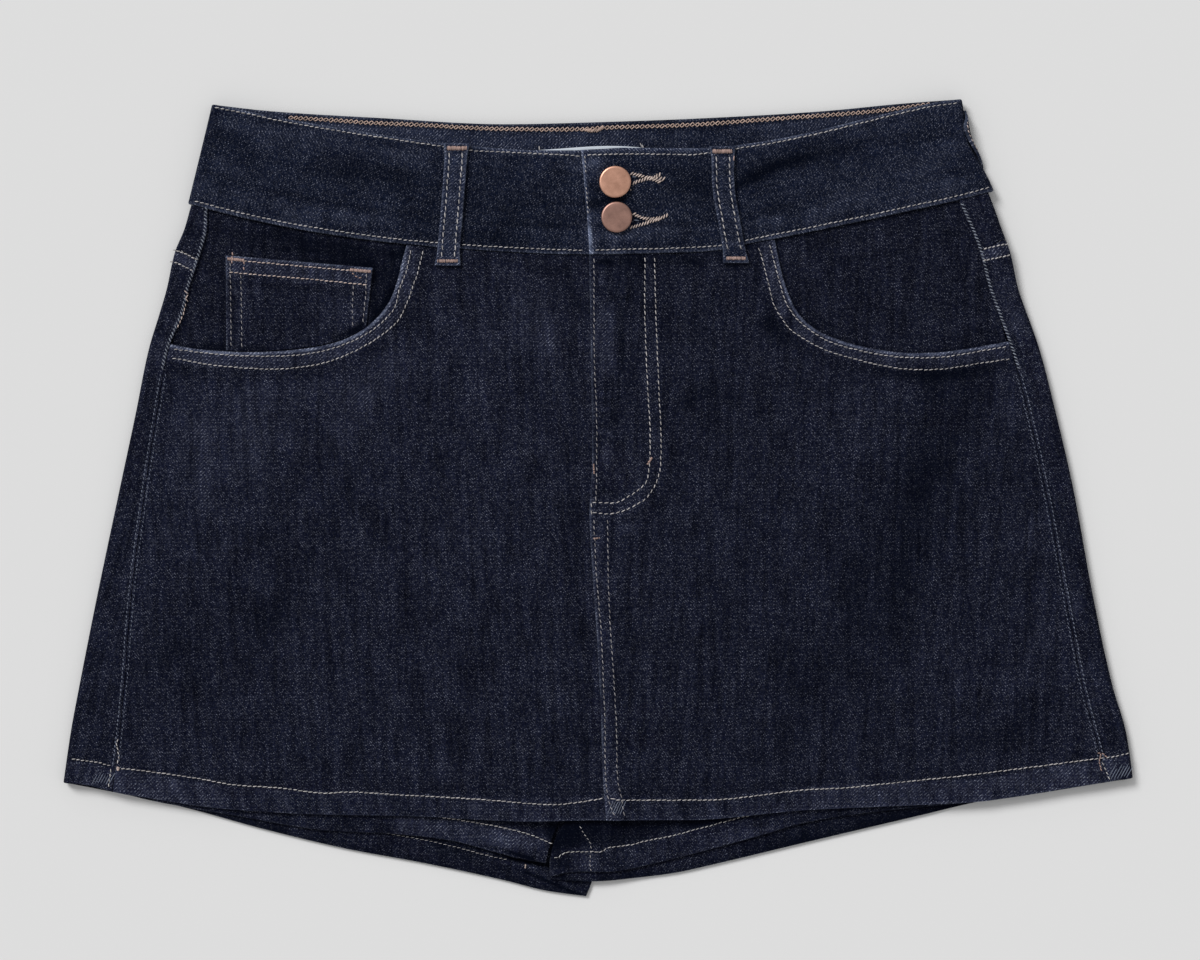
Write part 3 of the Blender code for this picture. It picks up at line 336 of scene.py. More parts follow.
INSIDE_MARKS = [
    (-40, -198.2, -9, -211.2, 0.8, -0.2, -1.3), (-38, -195.4, -10, -208, 1.5, 0.25, 0.5),
    (-47, -191, -31, -193.8, 1.6, -0.2, -1.4), (-54, -193, -24, -197, 0.9, 0.25, 0.9),
    (-60, -196, -54, -200, 5, -0.1, -0.3), (-90, -184, -20, -196, 2, -0.1, -0.4),
    (-24, -204.5, -8, -204.5, 2, -0.1, -0.6), (-90, -188, -50, -197, 4, 0, -0.35),
    (74, -187, 210, -158, 5, 0, -0.55),
]
LEG_MARKS = [
    (-47.5, -188, -33.5, -191.6, 1.3, -0.3, -1.7), (-62, -184.6, -46, -187.6, 0.8, -0.3, -1),
    (-47.5, -190.6, -31, -194.6, 0.7, 0.2, 0.9), (-22.5, -191, -15.5, -197.6, 3.4, -0.3, -0.6),
    (0.5, -188.2, 4.5, -194.6, 2.4, -0.3, -0.7), (-25, -172, -22.5, -199, 4, -0.3, -0.75),
    (-22, -171, 30, -172, 7, -0.2, -0.5), (30, -172, 90, -168, 4, -0.2, -0.4),
    (-4, -187, -4, -198, 4.5, 0.2, 0.75), (-44, -186, -30, -190, 3, -0.3, -0.4),
    (-60, -178, -36, -186, 4, 0.2, 0.3), (-92, -176, -86, -188, 5, 0.25, 0.25),
    (-40, -181, -36, -190, 3, -0.3, -0.3), (18, -186, 22, -194, 5, 0.25, 0.25),
    (48, -180, 50, -186, 3, -0.3, -0.4), (66, -174, 70, -182, 4, 0.2, 0.2), (-22, -178, 2, -177, 6, 0, -0.3),
    (46, -174, 175, -166, 4, 0, -0.55), (-62, -180, -30, -184, 7, 0, 0.4),
    (-155, -169, -105, -180, 5, 0, -0.35), (-104, -170, -78, -176, 3.5, 0, 0.45),
    (-20, -174, -12, -190, 8, 0, -0.55), (53, -189, 119, -169, 10, 0, 0.45),
    (-117, -170, -22, -185, 9, 0, 0.28),
]


# ---------------------------------------------------------------- plain maths
def ramp(value, start, end):
    """0 up to start, 1 from end on, and a smooth rise between them."""
    t = np.clip((np.asarray(value, float) - start) / (end - start), 0.0, 1.0)
    return t * t * (3 - 2 * t)


def mix(a, b, t):
    return a + (b - a) * t


def bump(distance, width):
    """1 at no distance, falling softly to nothing about two widths away."""
    return np.exp(-(distance / width) ** 2)


def wave(along, pitch, start=0.0):
    """Uneven ripples of about that pitch, between -1 and 1."""
    turn = 2 * math.pi * along / pitch
    slow = np.sin(0.61 * turn + 1.7 * start + 1)
    quick = np.sin(1.73 * turn + 2.3 * start + 2)
    return (np.sin(turn + start) + 0.7 * slow + 0.5 * quick) / 2.2


def smooth(rows, key=0, value=1):
    """A function that runs smoothly through the rows' value column over their key column."""
    pairs = sorted((row[key], row[value]) for row in rows)
    at = np.array([pair[0] for pair in pairs], float)
    height = np.array([pair[1] for pair in pairs], float)
    steps = np.diff(height) / np.diff(at)
    inner = np.where(steps[:-1] * steps[1:] > 0, (steps[:-1] + steps[1:]) / 2, 0.0)
    slopes = np.concatenate([steps[:1], inner, steps[-1:]])

    def follow(position):
        p = np.clip(np.asarray(position, float), at[0], at[-1])
        i = np.clip(np.searchsorted(at, p, side="right") - 1, 0, len(steps) - 1)
        run = at[i + 1] - at[i]
        t = (p - at[i]) / run
        start = height[i] * (1 + 2 * t) * (1 - t) ** 2 + run * slopes[i] * t * (1 - t) ** 2
        return start + height[i + 1] * t * t * (3 - 2 * t) + run * slopes[i + 1] * t * t * (t - 1)

    return follow


band_back_top, band_back_low = smooth(BAND_BACK_TOP), smooth(BAND_BACK_LOW)
band_front_top, band_front_low = smooth(BAND_FRONT_TOP), smooth(BAND_FRONT_LOW)
band_under_level, band_over_level = smooth(BAND_UNDER_LEVELS), smooth(BAND_OVER_LEVELS)
front_base, shorts_base = smooth(FRONT_LEVELS), smooth(SHORTS_LEVELS)
yoke_low, skirt_hem, centre_front = smooth(YOKE_LOW), smooth(SKIRT_HEM), smooth(CENTRE_FRONT, 1, 0)

# What each side of the garment has of its own
WORDS = {-1: "right", 1: "left"}
folds = {-1: smooth(SIDES, 0, 1), 1: smooth(SIDES, 0, 4)}
seams = {-1: smooth(SIDES, 0, 2), 1: smooth(SIDES, 0, 3)}
back_inners = {-1: smooth(INNER_LEGS, 0, 1), 1: smooth(INNER_LEGS, 0, 2)}
front_inners = {-1: smooth(INNER_LEGS, 0, 3), 1: smooth(INNER_LEGS, 0, 4)}
back_hems = {-1: smooth(RIGHT_LEG_BACK_HEM), 1: smooth(LEFT_LEG_BACK_HEM)}
front_hems = {-1: smooth(RIGHT_LEG_FRONT_HEM), 1: smooth(LEFT_LEG_FRONT_HEM)}

NEAR_AT_ONCE = 20000    # points that are compared with a route at one time


class Route:
    """A smooth line through (x, y) points, kept as small even steps."""

    def __init__(self, points, step=1.0):
        p = np.array(points, float)
        if len(p) > 2:
            p = np.vstack([2 * p[0] - p[1], p, 2 * p[-1] - p[-2]])
            t = np.linspace(0, 1, 12, endpoint=False)[:, None]
            parts = []
            for a, b, c, d in zip(p, p[1:], p[2:], p[3:]):
                curve = 2 * b + (c - a) * t + (2 * a - 5 * b + 4 * c - d) * t ** 2
                parts.append((curve + (3 * b - a - 3 * c + d) * t ** 3) / 2)
            p = np.vstack(parts + [p[-2:-1]])
        along = np.concatenate([[0], np.cumsum(np.hypot(*np.diff(p, axis=0).T))])
        self.length = along[-1]
        self.along = np.linspace(0, self.length, max(int(self.length / step), 2) + 1)
        self.x = np.interp(self.along, along, p[:, 0])
        self.y = np.interp(self.along, along, p[:, 1])
        run = np.gradient(np.stack([self.x, self.y]), axis=1)
        self.dx, self.dy = run / np.hypot(*run)

    def at(self, along):
        """x and y at distances along the line."""
        return np.interp(along, self.along, self.x), np.interp(along, self.along, self.y)

    def aside(self, along, off, facing=None):
        """Points at distances along the line and off to its left; facing is where its direction is taken."""
        turn = along if facing is None else facing
        side_x, side_y = -np.interp(turn, self.along, self.dy), np.interp(turn, self.along, self.dx)
        x, y = self.at(along)
        return np.stack([x + side_x * off, y + side_y * off], axis=-1)

    def near(self, x, y):
        """Distance to the line and distance along it."""
        x, y = np.broadcast_arrays(np.asarray(x, float), np.asarray(y, float))
        flat_x, flat_y = x.ravel(), y.ravel()
        nearest = np.empty(flat_x.size, int)
        for start in range(0, flat_x.size, NEAR_AT_ONCE):
            part = slice(start, start + NEAR_AT_ONCE)
            off = (flat_x[part, None] - self.x) ** 2 + (flat_y[part, None] - self.y) ** 2
            nearest[part] = off.argmin(axis=1)
        across_x, across_y = flat_x - self.x[nearest], flat_y - self.y[nearest]
        ahead = across_x * self.dx[nearest] + across_y * self.dy[nearest]
        aside = across_y * self.dx[nearest] - across_x * self.dy[nearest]
        last = (nearest == 0) & (ahead < 0) | (nearest == len(self.x) - 1) & (ahead > 0)
        far = np.where(last, np.hypot(across_x, across_y), np.abs(aside))
        along = self.along[nearest] + np.where(last, 0.0, ahead)
        return far.reshape(x.shape), along.reshape(x.shape)


def graded(length, start, end, pitch):
    """Distances along a length: close together at its ends, even between them."""
    middle = length - start[-1] - end[-1]
    count = max(int(round(middle / pitch)), 1)
    inner = [start[-1] + middle * i / count for i in range(1, count)]
    return np.array(list(start) + inner + [length - d for d in reversed(end)])


def beside(x, y, x0, y0, x1, y1):
    """Share of the way between two points, distance aside from it, and its length."""
    run_x, run_y = x1 - x0, y1 - y0
    length = math.hypot(run_x, run_y)
    share = ((x - x0) * run_x + (y - y0) * run_y) / length ** 2
    return share, ((x - x0) * run_y - (y - y0) * run_x) / length, length


def marks(x, y, table):
    """Height and tone that a table of marks adds."""
    height, tone = np.zeros(np.shape(x)), np.zeros(np.shape(x))
    for x0, y0, x1, y1, width, high, shade in table:
        share, off, length = beside(x, y, x0, y0, x1, y1)
        soft = width / length
        strength = ramp(share, -soft, min(soft, 0.4)) * (1 - ramp(share, max(1 - soft, 0.6), 1 + soft))
        strength = strength * bump(off, width)
        height += high * strength
        tone += shade * strength
    return height, tone


# ------------------------------------------------------------ height of the cloth
def waist_lift(y):
    """How far the back loops raise the waist."""
    return WAIST_LIFT * ramp(y, *WAIST_LIFT_RUN)


def soft_fold(x, y):
    """Height of the front's broad folds."""
    total = 0.0
    for x0, y0, x1, y1, width, height in SOFT_FOLDS:
        share, off, _ = beside(x, y, x0, y0, x1, y1)
        ends = ramp(share, -0.15, 0.25) * (1 - ramp(share, 0.75, 1.15))
        total = total + height * ends * (1 - ramp(np.abs(off), 0, 2 * width))
    return total


def front_level(x, y):
    """Top of the outermost layer: skirt front, and the back where it comes round."""
    inset = np.minimum(x - folds[-1](y), folds[1](y) - x)
    sides = 1 - ramp(inset, *SIDE_RISE)
    crotch = (1 - ramp(np.abs(x - CROTCH_MIDDLE), *CROTCH_RUN)) * ramp(-y, *CROTCH_RUN_Y)
    return mix(front_base(y), SIDE_LEVEL, sides) + CROTCH_RISE * crotch + soft_fold(x, y)


def leg_lift(x, y):
    """How far the left leg lies up on the right one."""
    across = 1 - ramp(x - back_inners[-1](y), *LEG_LIFT_RUN_X)
    return LEG_LIFT * across * ramp(-y, *LEG_LIFT_RUN_Y)


def corner_lift(x, y):
    """How far the inner corner of the right leg's front stands up."""
    across = 1 - ramp(front_inners[-1](y) - x, *CORNER_RUN_X)
    return CORNER_LIFT * across * ramp(-y, *CORNER_RUN_Y)


def leg_level(x, y, side):
    """Top of a shorts front without its hem and marks."""
    lift = corner_lift(x, y) if side < 0 else leg_lift(x, y)
    return shorts_base(y) + lift + waist_lift(y)


def fly_rise(x, y):
    """How far the fly's extra layers raise the left front."""
    reach = LAP_RUN + (FLY_WIDTH - LAP_RUN) * ramp(y, FLY_END - 8, FLY_END + 8)
    rise = LAP_RISE + HEM_RAISE * ramp(-y, *LAP_HEM_RUN)
    return rise * (1 - ramp(x - centre_front(y), reach, reach + LAP_EASE))


def round_fold(side, fold_x, arc, top, middle=FOLD_MID):
    """x and z on a fold's outer face, arc mm round from its outermost line; over 0 is upwards."""
    turn = math.pi / 2 * np.minimum(np.abs(arc) / FOLD_ARC, 1.0)
    inset = FOLD_REACH * (1 - np.cos(turn)) + np.maximum(np.abs(arc) - FOLD_ARC, 0.0)
    rise = np.where(arc > 0, top - middle, -middle)
    return fold_x - side * inset, middle + rise * np.sin(turn)


def rolled(distance, radius=0.6):
    """How far a rolled edge falls away, at a distance from the edge."""
    inside = np.clip(radius - distance, 0, radius)
    return radius - np.sqrt(radius ** 2 - inside ** 2)


def hem_share(depth):
    """1 on the turned-up hem, 0 above it."""
    return 1 - ramp(depth, HEM_DEPTH - HEM_STEP, HEM_DEPTH + 0.2)


# ------------------------------------------------------------------ shader writing
class Socket:
    """A shader output; arithmetic on number sockets adds Math nodes."""

    def __init__(self, look, output):
        self.look = look
        self.output = output

    def math(self, operation, *values):
        return self.look.add("ShaderNodeMath", {"operation": operation}, dict(enumerate(values)))

    def __add__(self, other):
        return self.math("ADD", self, other)

    def __sub__(self, other):
        return self.math("SUBTRACT", self, other)

    def __rsub__(self, other):
        return self.math("SUBTRACT", other, self)

    def __mul__(self, other):
        return self.math("MULTIPLY", self, other)

    def __pow__(self, other):
        return self.math("POWER", self, other)

    def __mod__(self, other):
        return self.math("FLOORED_MODULO", self, other)

    __radd__ = __add__
    __rmul__ = __mul__

    def floor(self):
        return self.math("FLOOR", self)

    def fract(self):
        return self.math("FRACT", self)

    def low(self, other):
        return self.math("MINIMUM", self, other)

    def high(self, other):
        return self.math("MAXIMUM", self, other)

    def ramp(self, start, end):
        """0 at start, 1 at end and a smooth change between them; start may be the higher one."""
        flip = start > end
        settings = {"interpolation_type": "SMOOTHSTEP"}
        values = {0: self, 1: min(start, end), 2: max(start, end)}
        share = self.look.add("ShaderNodeMapRange", settings, values)
        return 1 - share if flip else share


class Look:
    """A material; add() makes a node and gives back one of its outputs."""

    def __init__(self, name):
        self.material = bpy.data.materials.new(name)
        self.material.use_nodes = True
        self.nodes = self.material.node_tree.nodes
        self.shader = self.nodes["Principled BSDF"]

    def feed(self, socket, value):
        if isinstance(value, Socket):
            self.material.node_tree.links.new(value.output, socket)
        else:
            socket.default_value = value

    def add(self, kind, settings=None, inputs=None, output=0):
        node = self.nodes.new(kind)
        for key, value in (settings or {}).items():
            setattr(node, key, value)
        for key, value in (inputs or {}).items():
            self.feed(node.inputs[key], value)
        return Socket(self, node.outputs[output])

    def set(self, **inputs):
        for key, value in inputs.items():
            self.feed(self.shader.inputs[key.replace("_", " ")], value)

    def attribute(self, name):
        return self.add("ShaderNodeAttribute", {"attribute_name": name}, output=2)

    def combine(self, x, y, z=0.0):
        return self.add("ShaderNodeCombineXYZ", None, {0: x, 1: y, 2: z})

    def noise(self, place, scale, detail=2.0, rough=0.5):
        values = {"Vector": place, "Scale": scale, "Detail": detail, "Roughness": rough}
        return self.add("ShaderNodeTexNoise", None, values)

    def random(self, place):
        return self.add("ShaderNodeTexWhiteNoise", {"noise_dimensions": "2D"}, {"Vector": place})

    def blend(self, share, a, b):
        """A colour between two colours."""
        settings = {"data_type": "RGBA", "clamp_factor": True}
        return self.add("ShaderNodeMix", settings, {0: share, 6: a, 7: b}, output=2)

    def shade(self, colour, amount):
        """A colour times a number."""
        settings = {"operation": "SCALE"}
        return self.add("ShaderNodeVectorMath", settings, {0: colour, 3: amount})

    def sum(self, a, b):
        return self.add("ShaderNodeVectorMath", {"operation": "ADD"}, {0: a, 1: b})

    def relief(self, height, distance, strength=1.0, below=None):
        values = {"Strength": strength, "Distance": distance, "Height": height}
        if below is not None:
            values["Normal"] = below
        return self.add("ShaderNodeBump", None, values)


WARP_PITCH = 0.50      # mm between the blue threads
WEFT_PITCH = 0.465     # mm between the pale threads that cross them
INDIGO = (0.0009, 0.0013, 0.0047, 1)
INDIGO_PALE = (0.0068, 0.0089, 0.0240, 1)
WEFT = (0.200, 0.215, 0.278, 1)
WORN = (0.054, 0.066, 0.098, 1)
SHADOW = (0.0006, 0.0015, 0.0052)


def denim(name, depth=1.0, streak=1.0, warm=1.0):
    """Dark rinsed twill: blue threads over pale ones, slubs, paler worn edges, and painted shade and light
    from the tone attribute.
    """
    look = Look(name)
    place = look.add("ShaderNodeUVMap", {"uv_map": "weave"})
    across = look.add("ShaderNodeSeparateXYZ", None, {0: place}) * (1000 / WARP_PITCH)
    along = look.add("ShaderNodeSeparateXYZ", None, {0: place}, output=1) * (1000 / WEFT_PITCH)
    edge = look.attribute("edge")
    tone = look.attribute("tone")
    hump = lambda share: 1 - (share * 2 - 1) ** 2

    # the crossings where a pale thread comes to the face: a broken twill, four threads round
    warp = across + look.noise(place, 45.0, 1.0) * 1.2
    weft = along + look.noise(place, 60.0, 1.0) * 0.8
    column, row = warp.floor(), weft.floor()
    broken = ((column * 2 + (column * 0.5).floor() - row) % 4.0).ramp(0.6, 0.4)
    plain = ((column - row) % 4.0).ramp(0.6, 0.4)
    rubbed = tone.ramp(0.15, 0.7)
    crossing = broken + (plain - broken) * rubbed
    warp_hump = hump(warp.fract())
    pick = (crossing * 0.8 + 0.2) * hump(weft.fract()) * warp_hump.high(0.0) ** 0.5
    rib = hump((weft * 0.25).fract()) * 0.9 + 0.4
    luck = look.random(look.combine(column, row))
    grain = look.random(look.combine(column + 0.5, row + 0.5))

    # uneven yarn: streaks that run up and down, and slow clouds
    slub = look.noise(look.combine(across * 0.14, along * 0.012), 1.0, 3.0, 0.7)
    long_slub = look.noise(look.combine(across * 0.035, along * 0.003), 1.0, 2.0, 0.6)
    cloud = look.noise(place, 60.0, 3.0, 0.6)
    yarn = (slub * 1.5 + long_slub * 0.5 - 1.0) * streak
    lift = (yarn + cloud - 0.5 + tone * 0.12).ramp(-0.8, 0.9)
    dark, pale = [(warm * shade[0],) + shade[1:] for shade in (INDIGO, INDIGO_PALE)]
    blue = look.blend(lift, dark, pale)
    blue = look.shade(blue, (warp_hump * 0.45 + 0.62) * (grain * 0.85 + 0.57))

    # worn edges, rubbed through in patches
    rub = look.noise(place, 420.0, 2.0, 0.6)
    rub_long = look.noise(place, 60.0, 2.0)
    edge_worn = edge.ramp(1.5, 0.1) * (rub * 0.9 + rub_long * 1.3 - 0.8).ramp(0.0, 0.75) * 0.5
    wear = edge_worn.high((tone + rub * 1.2 - 1.5).ramp(0.0, 1.6) * 0.5)
    cloth = look.blend(wear, blue, WORN)

    spark = (luck ** 3.0 + rubbed * 0.08) * rib * (lift * 1.5 + 0.25 + wear * 2.4)
    colour = look.blend((pick * spark * 0.78).low(1.0), cloth, WEFT)
    # tone below 0 darkens the cloth towards SHADOW, a deep blue: painted shade in creases, under edges and
    # in gaps. Tone over 0 makes it paler: wear, and partly painted light on ridges
    paler = tone.high(0.0) * 0.7 + 1.0
    painted_shade_factor = (tone + 1.45).ramp(-0.1, 1.45) * 0.84 + 0.16
    colour = look.sum(look.shade(colour, painted_shade_factor * paler * depth), look.shade(SHADOW, 1.0 - painted_shade_factor))

    fine = look.relief(pick * 0.6 + warp_hump * 0.35 + luck * 0.25, 0.00007, 0.5)
    soft = look.relief(slub * 0.8 + cloud, 0.0004, 0.4, fine)
    look.set(Base_Color=colour, Roughness=0.85, Specular_IOR_Level=0.02, Normal=soft)
    look.set(Sheen_Weight=0.01, Sheen_Roughness=0.4)
    return look.material


def thread(name, colour):
    """Twisted sewing thread; each stitch has its own tint."""
    look = Look(name)
    place = look.add("ShaderNodeTexCoord", output=3)
    tint = look.attribute("tint")
    fuzz = look.noise(place, 2600.0, 2.0)
    level = (tint * 0.55 + fuzz * 0.5 + 0.45) * 0.9
    look.set(Base_Color=look.shade(look.blend(0.0, colour, colour), level))
    look.set(Roughness=0.7, Specular_IOR_Level=0.3)
    look.set(Normal=look.relief(fuzz, 0.0002, 0.6))
    return look.material


def copper(name, colour, dark):
    """Antique copper plate, satin, duller in its low places."""
    look = Look(name)
    place = look.add("ShaderNodeTexCoord", output=3)
    mottle = look.noise(place, 130.0, 3.0, 0.6)
    grain = look.noise(place, 2600.0, 2.0)
    share = (mottle * 0.9 + grain * 0.25 - 0.12).ramp(0.0, 0.75)
    look.set(Base_Color=look.blend(share, dark, colour))
    look.set(Metallic=0.85, Roughness=0.34 + mottle * 0.2)
    look.set(Normal=look.relief(grain * 0.4 + mottle, 0.00006, 0.4))
    return look.material


def satin(name):
    """White woven satin with fine ribs, coloured blue-grey as painted shade on white."""
    look = Look(name)
    place = look.add("ShaderNodeTexCoord", output=3)
    ribs = (look.add("ShaderNodeSeparateXYZ", None, {0: place}, output=1) * 2600.0).fract()
    # blue-grey colours: painted shade on white satin
    look.set(Base_Color=look.blend(ribs * 0.35, (0.66, 0.72, 0.80, 1), (0.54, 0.59, 0.67, 1)))
    look.set(Roughness=0.55)
    return look.material


# ------------------------------------------------------------------- building
def finish_mesh(name, vertices, faces, material, slot, angle=50.0):
    """A mesh object from points in millimetres, shaded smooth but for sharp edges."""
    mesh = bpy.data.meshes.new(name)
    mesh.from_pydata((np.asarray(vertices) * MM).tolist(), [], faces)
    mesh.materials.append(material)
    mesh.shade_smooth()
    mesh.set_sharp_from_angle(angle=math.radians(angle))
    made = bpy.data.objects.new(name, mesh)
    bpy.context.scene.collection.objects.link(made)
    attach(made, "root")
    return made


def note(mesh, name, values):
    """Keeps a number for each vertex, for the material to read."""
    kept = mesh.attributes.new(name, "FLOAT", "POINT")
    kept.data.foreach_set("value", np.asarray(values, np.float32).ravel())


cuts = {}


def cloth(node, x, y, z, up, thickness, roll, weave, edge, tone, material, slot="denim", inner_tone=None):
    """A closed shell of cloth from a grid of outer points, which grows inwards.

    up says whether most of the outer side looks up; weave has each point's
    place across and along the cloth's grain; edge is the distance to the
    nearest worn edge, and tone the cloth's paleness, painted shade and painted
    light included, which may have a value of its own on the inner side."""
    points = np.dstack(np.broadcast_arrays(x, y, z))
    rows, columns = points.shape[:2]
    spread = lambda value: np.broadcast_to(value, (rows, columns))
    normal = np.cross(np.gradient(points, axis=0), np.gradient(points, axis=1))
    normal /= np.linalg.norm(normal, axis=2)[:, :, None]
    flip = (normal[:, :, 2].sum() > 0) != up
    if flip:
        normal = -normal
    full, drop = spread(thickness)[:, :, None], spread(roll)[:, :, None]
    outer = points - normal * np.minimum(drop, full * 0.55)
    inner = points - normal * full
    count = rows * columns
    index = np.arange(count).reshape(rows, columns)
    around = [index[:-1, :-1], index[1:, :-1], index[1:, 1:], index[:-1, 1:]]
    quads = np.stack(around, axis=-1).reshape(-1, 4)
    ring = np.concatenate([index[0, :-1], index[:-1, -1], index[-1, :0:-1], index[:0:-1, 0]])
    after = np.roll(ring, -1)
    rim = np.stack([ring, after, after + count, ring + count], axis=-1)
    faces = np.vstack([quads, quads[:, ::-1] + count, rim])
    if flip:
        faces = faces[:, ::-1]
    vertices = np.vstack([outer.reshape(-1, 3), inner.reshape(-1, 3)])
    made = finish_mesh(node + "_cloth", vertices, faces.tolist(), material, slot)
    mesh = made.data
    note(mesh, "edge", np.tile(spread(edge).ravel(), 2))
    within = tone if inner_tone is None else inner_tone
    note(mesh, "tone", np.concatenate([spread(tone).ravel(), spread(within).ravel()]))
    uv = np.tile(np.stack([spread(w).ravel() for w in weave], axis=-1) * MM, (2, 1))
    corners = np.empty(len(mesh.loops), int)
    mesh.loops.foreach_get("vertex_index", corners)
    mesh.uv_layers.new(name="weave").data.foreach_set("uv", uv[corners].astype(np.float32).ravel())
    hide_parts(node)
    along, across = np.diff(points, axis=0), np.diff(points, axis=1)
    width = np.linalg.norm(across, axis=2).sum(axis=1).max()
    length = np.linalg.norm(along, axis=2).sum(axis=0).max()
    area = np.linalg.norm(np.cross(along[:, :-1], across[:-1]), axis=2).sum()
    cuts[node] = (made, width * MM, length * MM, min(area * MM * MM, width * length * MM * MM))


def settle(curve, x_at, start):
    """The height at which columns, whose x depends on the height, meet a curve."""
    y = start
    for _ in range(6):
        y = curve(x_at(y))
    return y


def rows_down(top, foot, top_steps, low_steps, pitch):
    """The heights of a grid's rows from a top row down to a foot row, closer together at both."""
    longest = (top - foot).max()
    steps = graded(longest, top_steps, low_steps, pitch)
    for number, step in enumerate(steps):
        if number < len(top_steps):
            yield top - step
        elif number >= len(steps) - len(low_steps):
            yield foot + (longest - step)
        else:
            t = (step - top_steps[-1]) / (longest - top_steps[-1] - low_steps[-1])
            yield mix(top - top_steps[-1], foot + low_steps[-1], t)


def panel(top, first, last, low, top_steps, low_steps, pitch):
    """x and y of a grid from a row of top points down to a hem, between two side curves x(y)."""
    share = (top[:, 0] - top[0, 0]) / (top[-1, 0] - top[0, 0])
    start, end = first(settle(low, first, -160.0)), last(settle(low, last, -160.0))
    low_x = mix(start, end, share)
    low_y = low(low_x)
    rows = []
    for y in rows_down(top[:, 1], low_y, top_steps, low_steps, pitch):
        down = (top[:, 1] - y) / (top[:, 1] - low_y)
        plain = mix(top[:, 0], low_x, down)
        rows.append((plain + mix(first(y[0]) - plain[0], last(y[-1]) - plain[-1], share), y))
    rows = np.array(rows)
    return rows[:, 0], rows[:, 1]


# ------------------------------------------------------------- surfaces with relief
mouths = {-1: Route(MOUTH_RIGHT_SIDE), 1: Route(MOUTH_LEFT_SIDE)}
MOUTH_ROWS = (2.6, 8.6)     # stitch rows below a pocket's edge
HEM_ROW = 12.2


def groove(distance, depth=0.14, width=0.7):
    """The line that a row of stitches presses into the cloth."""
    return -depth * bump(distance, width)


def hem_relief(x, depth, seed):
    """Height and tone of a turned-up hem and of the cloth just above it, which dips and is darker there:
    painted shade.
    """
    on = hem_share(depth)
    slant = x + 0.5 * depth
    ripple = wave(slant, 11.0, seed) * 0.6 + wave(slant, 27.0, seed + 2) * 0.4
    # above: the dip just over the hem, darkened as painted shade
    above = bump(depth - 15.2, 2.6)
    height = HEM_RAISE * on + groove(depth - HEM_ROW, 0.3) + 0.22 * ripple * on - 0.18 * above
    height = height + 0.1 * wave(x, 9.0, seed + 4) * bump(depth - 15, 5)
    return height, (0.22 + 0.46 * ripple) * on - 0.3 * above


def mouth_relief(x, y, route, seed):
    """Height and tone of a pocket mouth's turned edge, with painted shadow below its outer row."""
    far, along = route.near(x, y)
    on = 1 - ramp(far, 8.4, 9.6)
    ripple = wave(along + 0.4 * far, 9.0, seed)
    # below: painted shadow just outside the outer row of stitches
    below = bump(far - 12.5, 3.4)
    height = 0.3 * on + groove(far - MOUTH_ROWS[0]) + groove(far - MOUTH_ROWS[1], 0.25)
    height = height + 0.1 * ripple * on - 0.22 * below
    rubbed = 1.15 * bump(far - 1.0, 0.9) * (1 + 0.35 * wave(along, 23.0, seed + 1))
    return height, (0.55 + 0.22 * ripple) * on + rubbed - 0.42 * below, far


def side_relief(x, y, seam, seed):
    """The front's edge where it is sewn to the back's."""
    off = np.abs(x - seam(y))
    ripple = wave(y + 0.5 * off, 8.0, seed)
    height = 0.12 * ripple * bump(off, 6) - 0.1 * bump(off - 3.2, 1.0)
    return height, 0.14 * ripple * bump(off, 5) + 0.12 * bump(off, 2)


def skirt_relief(x, y, side):
    """Height and tone that a skirt front has over its plain level, and its distance to a worn edge."""
    height, tone = marks(x, y, FRONT_MARKS)
    tone = np.where(tone > 0, 0.75 * tone, tone)
    mouth_height, mouth_tone, edge = mouth_relief(x, y, mouths[side], 1.0 + side)
    depth = y - skirt_hem(x)
    hem_height, hem_tone = hem_relief(x, depth, 2.0 + side)
    side_height, side_tone = side_relief(x, y, seams[side], 3.0 + side)
    height = height * (1 - 0.7 * hem_share(depth)) + mouth_height + hem_height + side_height
    tone = tone * (1 - 0.6 * hem_share(depth)) + mouth_tone + hem_tone + side_tone
    height = height + 0.14 * wave(x * 0.9 + y * 0.25, 34.0, side) + 0.1 * wave(x * 0.3 - y, 47.0, side + 1)
    waist = band_front_low(x) - y
    height = height + 0.1 * wave(x, 10.0, 3.0) * bump(waist, 9.0)
    # darker just under the waistband's lower edge: painted shade
    tone = tone - 0.45 * bump(waist, 2.2)
    if side > 0:
        fly_height, fly_tone = marks(x, y, FLY_MARKS)
        lap = x - centre_front(y)
        below_fly = ramp(-y, 12.0, 18.0)
        ripple = wave(y + lap, 7.0, 5.0) * 0.5 + wave(y, 4.2, 1.0) * 0.5
        seam_band = 1 - ramp(lap, 7.6, 9.2)
        height = height + fly_height + groove(lap - 2.4, 0.18)
        height = height + below_fly * seam_band * (0.1 + 0.16 * ripple)
        tone = tone + fly_tone + 0.35 * bump(lap, 3.0) + below_fly * seam_band * (0.3 + 0.3 * ripple)
        for stitched in fly_rows:
            far = stitched.near(x, y)[0]
            height = height + groove(far, 0.16, 0.8)
            tone = tone + 0.18 * bump(far, 2.2)
        edge = np.minimum(edge, lap)
    else:
        lap = centre_front(y) - x
        near_lap = bump(lap - 2.0, 3.4) * ramp(-y, 4.0, 14.0)
        height = height + 0.15 * near_lap
        tone = tone + 0.3 * near_lap - 0.2 * bump(lap - 8.0, 4.0)
    tone = tone + 0.45 * bump(depth - 0.6, 0.8) * (bump(x + 16, 22) + 0.6 * ramp(x, 14, 30))
    tone = tone + 0.3 * hem_share(depth) * (ramp(x, 60, 150) + ramp(-x, 190, 230))
    return height, tone, np.minimum(edge, depth + 0.7)


def skirt_top(side):
    """The outer height of a skirt front as a function of x and y."""
    def top(x, y):
        level = front_level(x, y) + waist_lift(y) + skirt_relief(x, y, side)[0]
        return level + fly_rise(x, y) if side > 0 else level
    return top


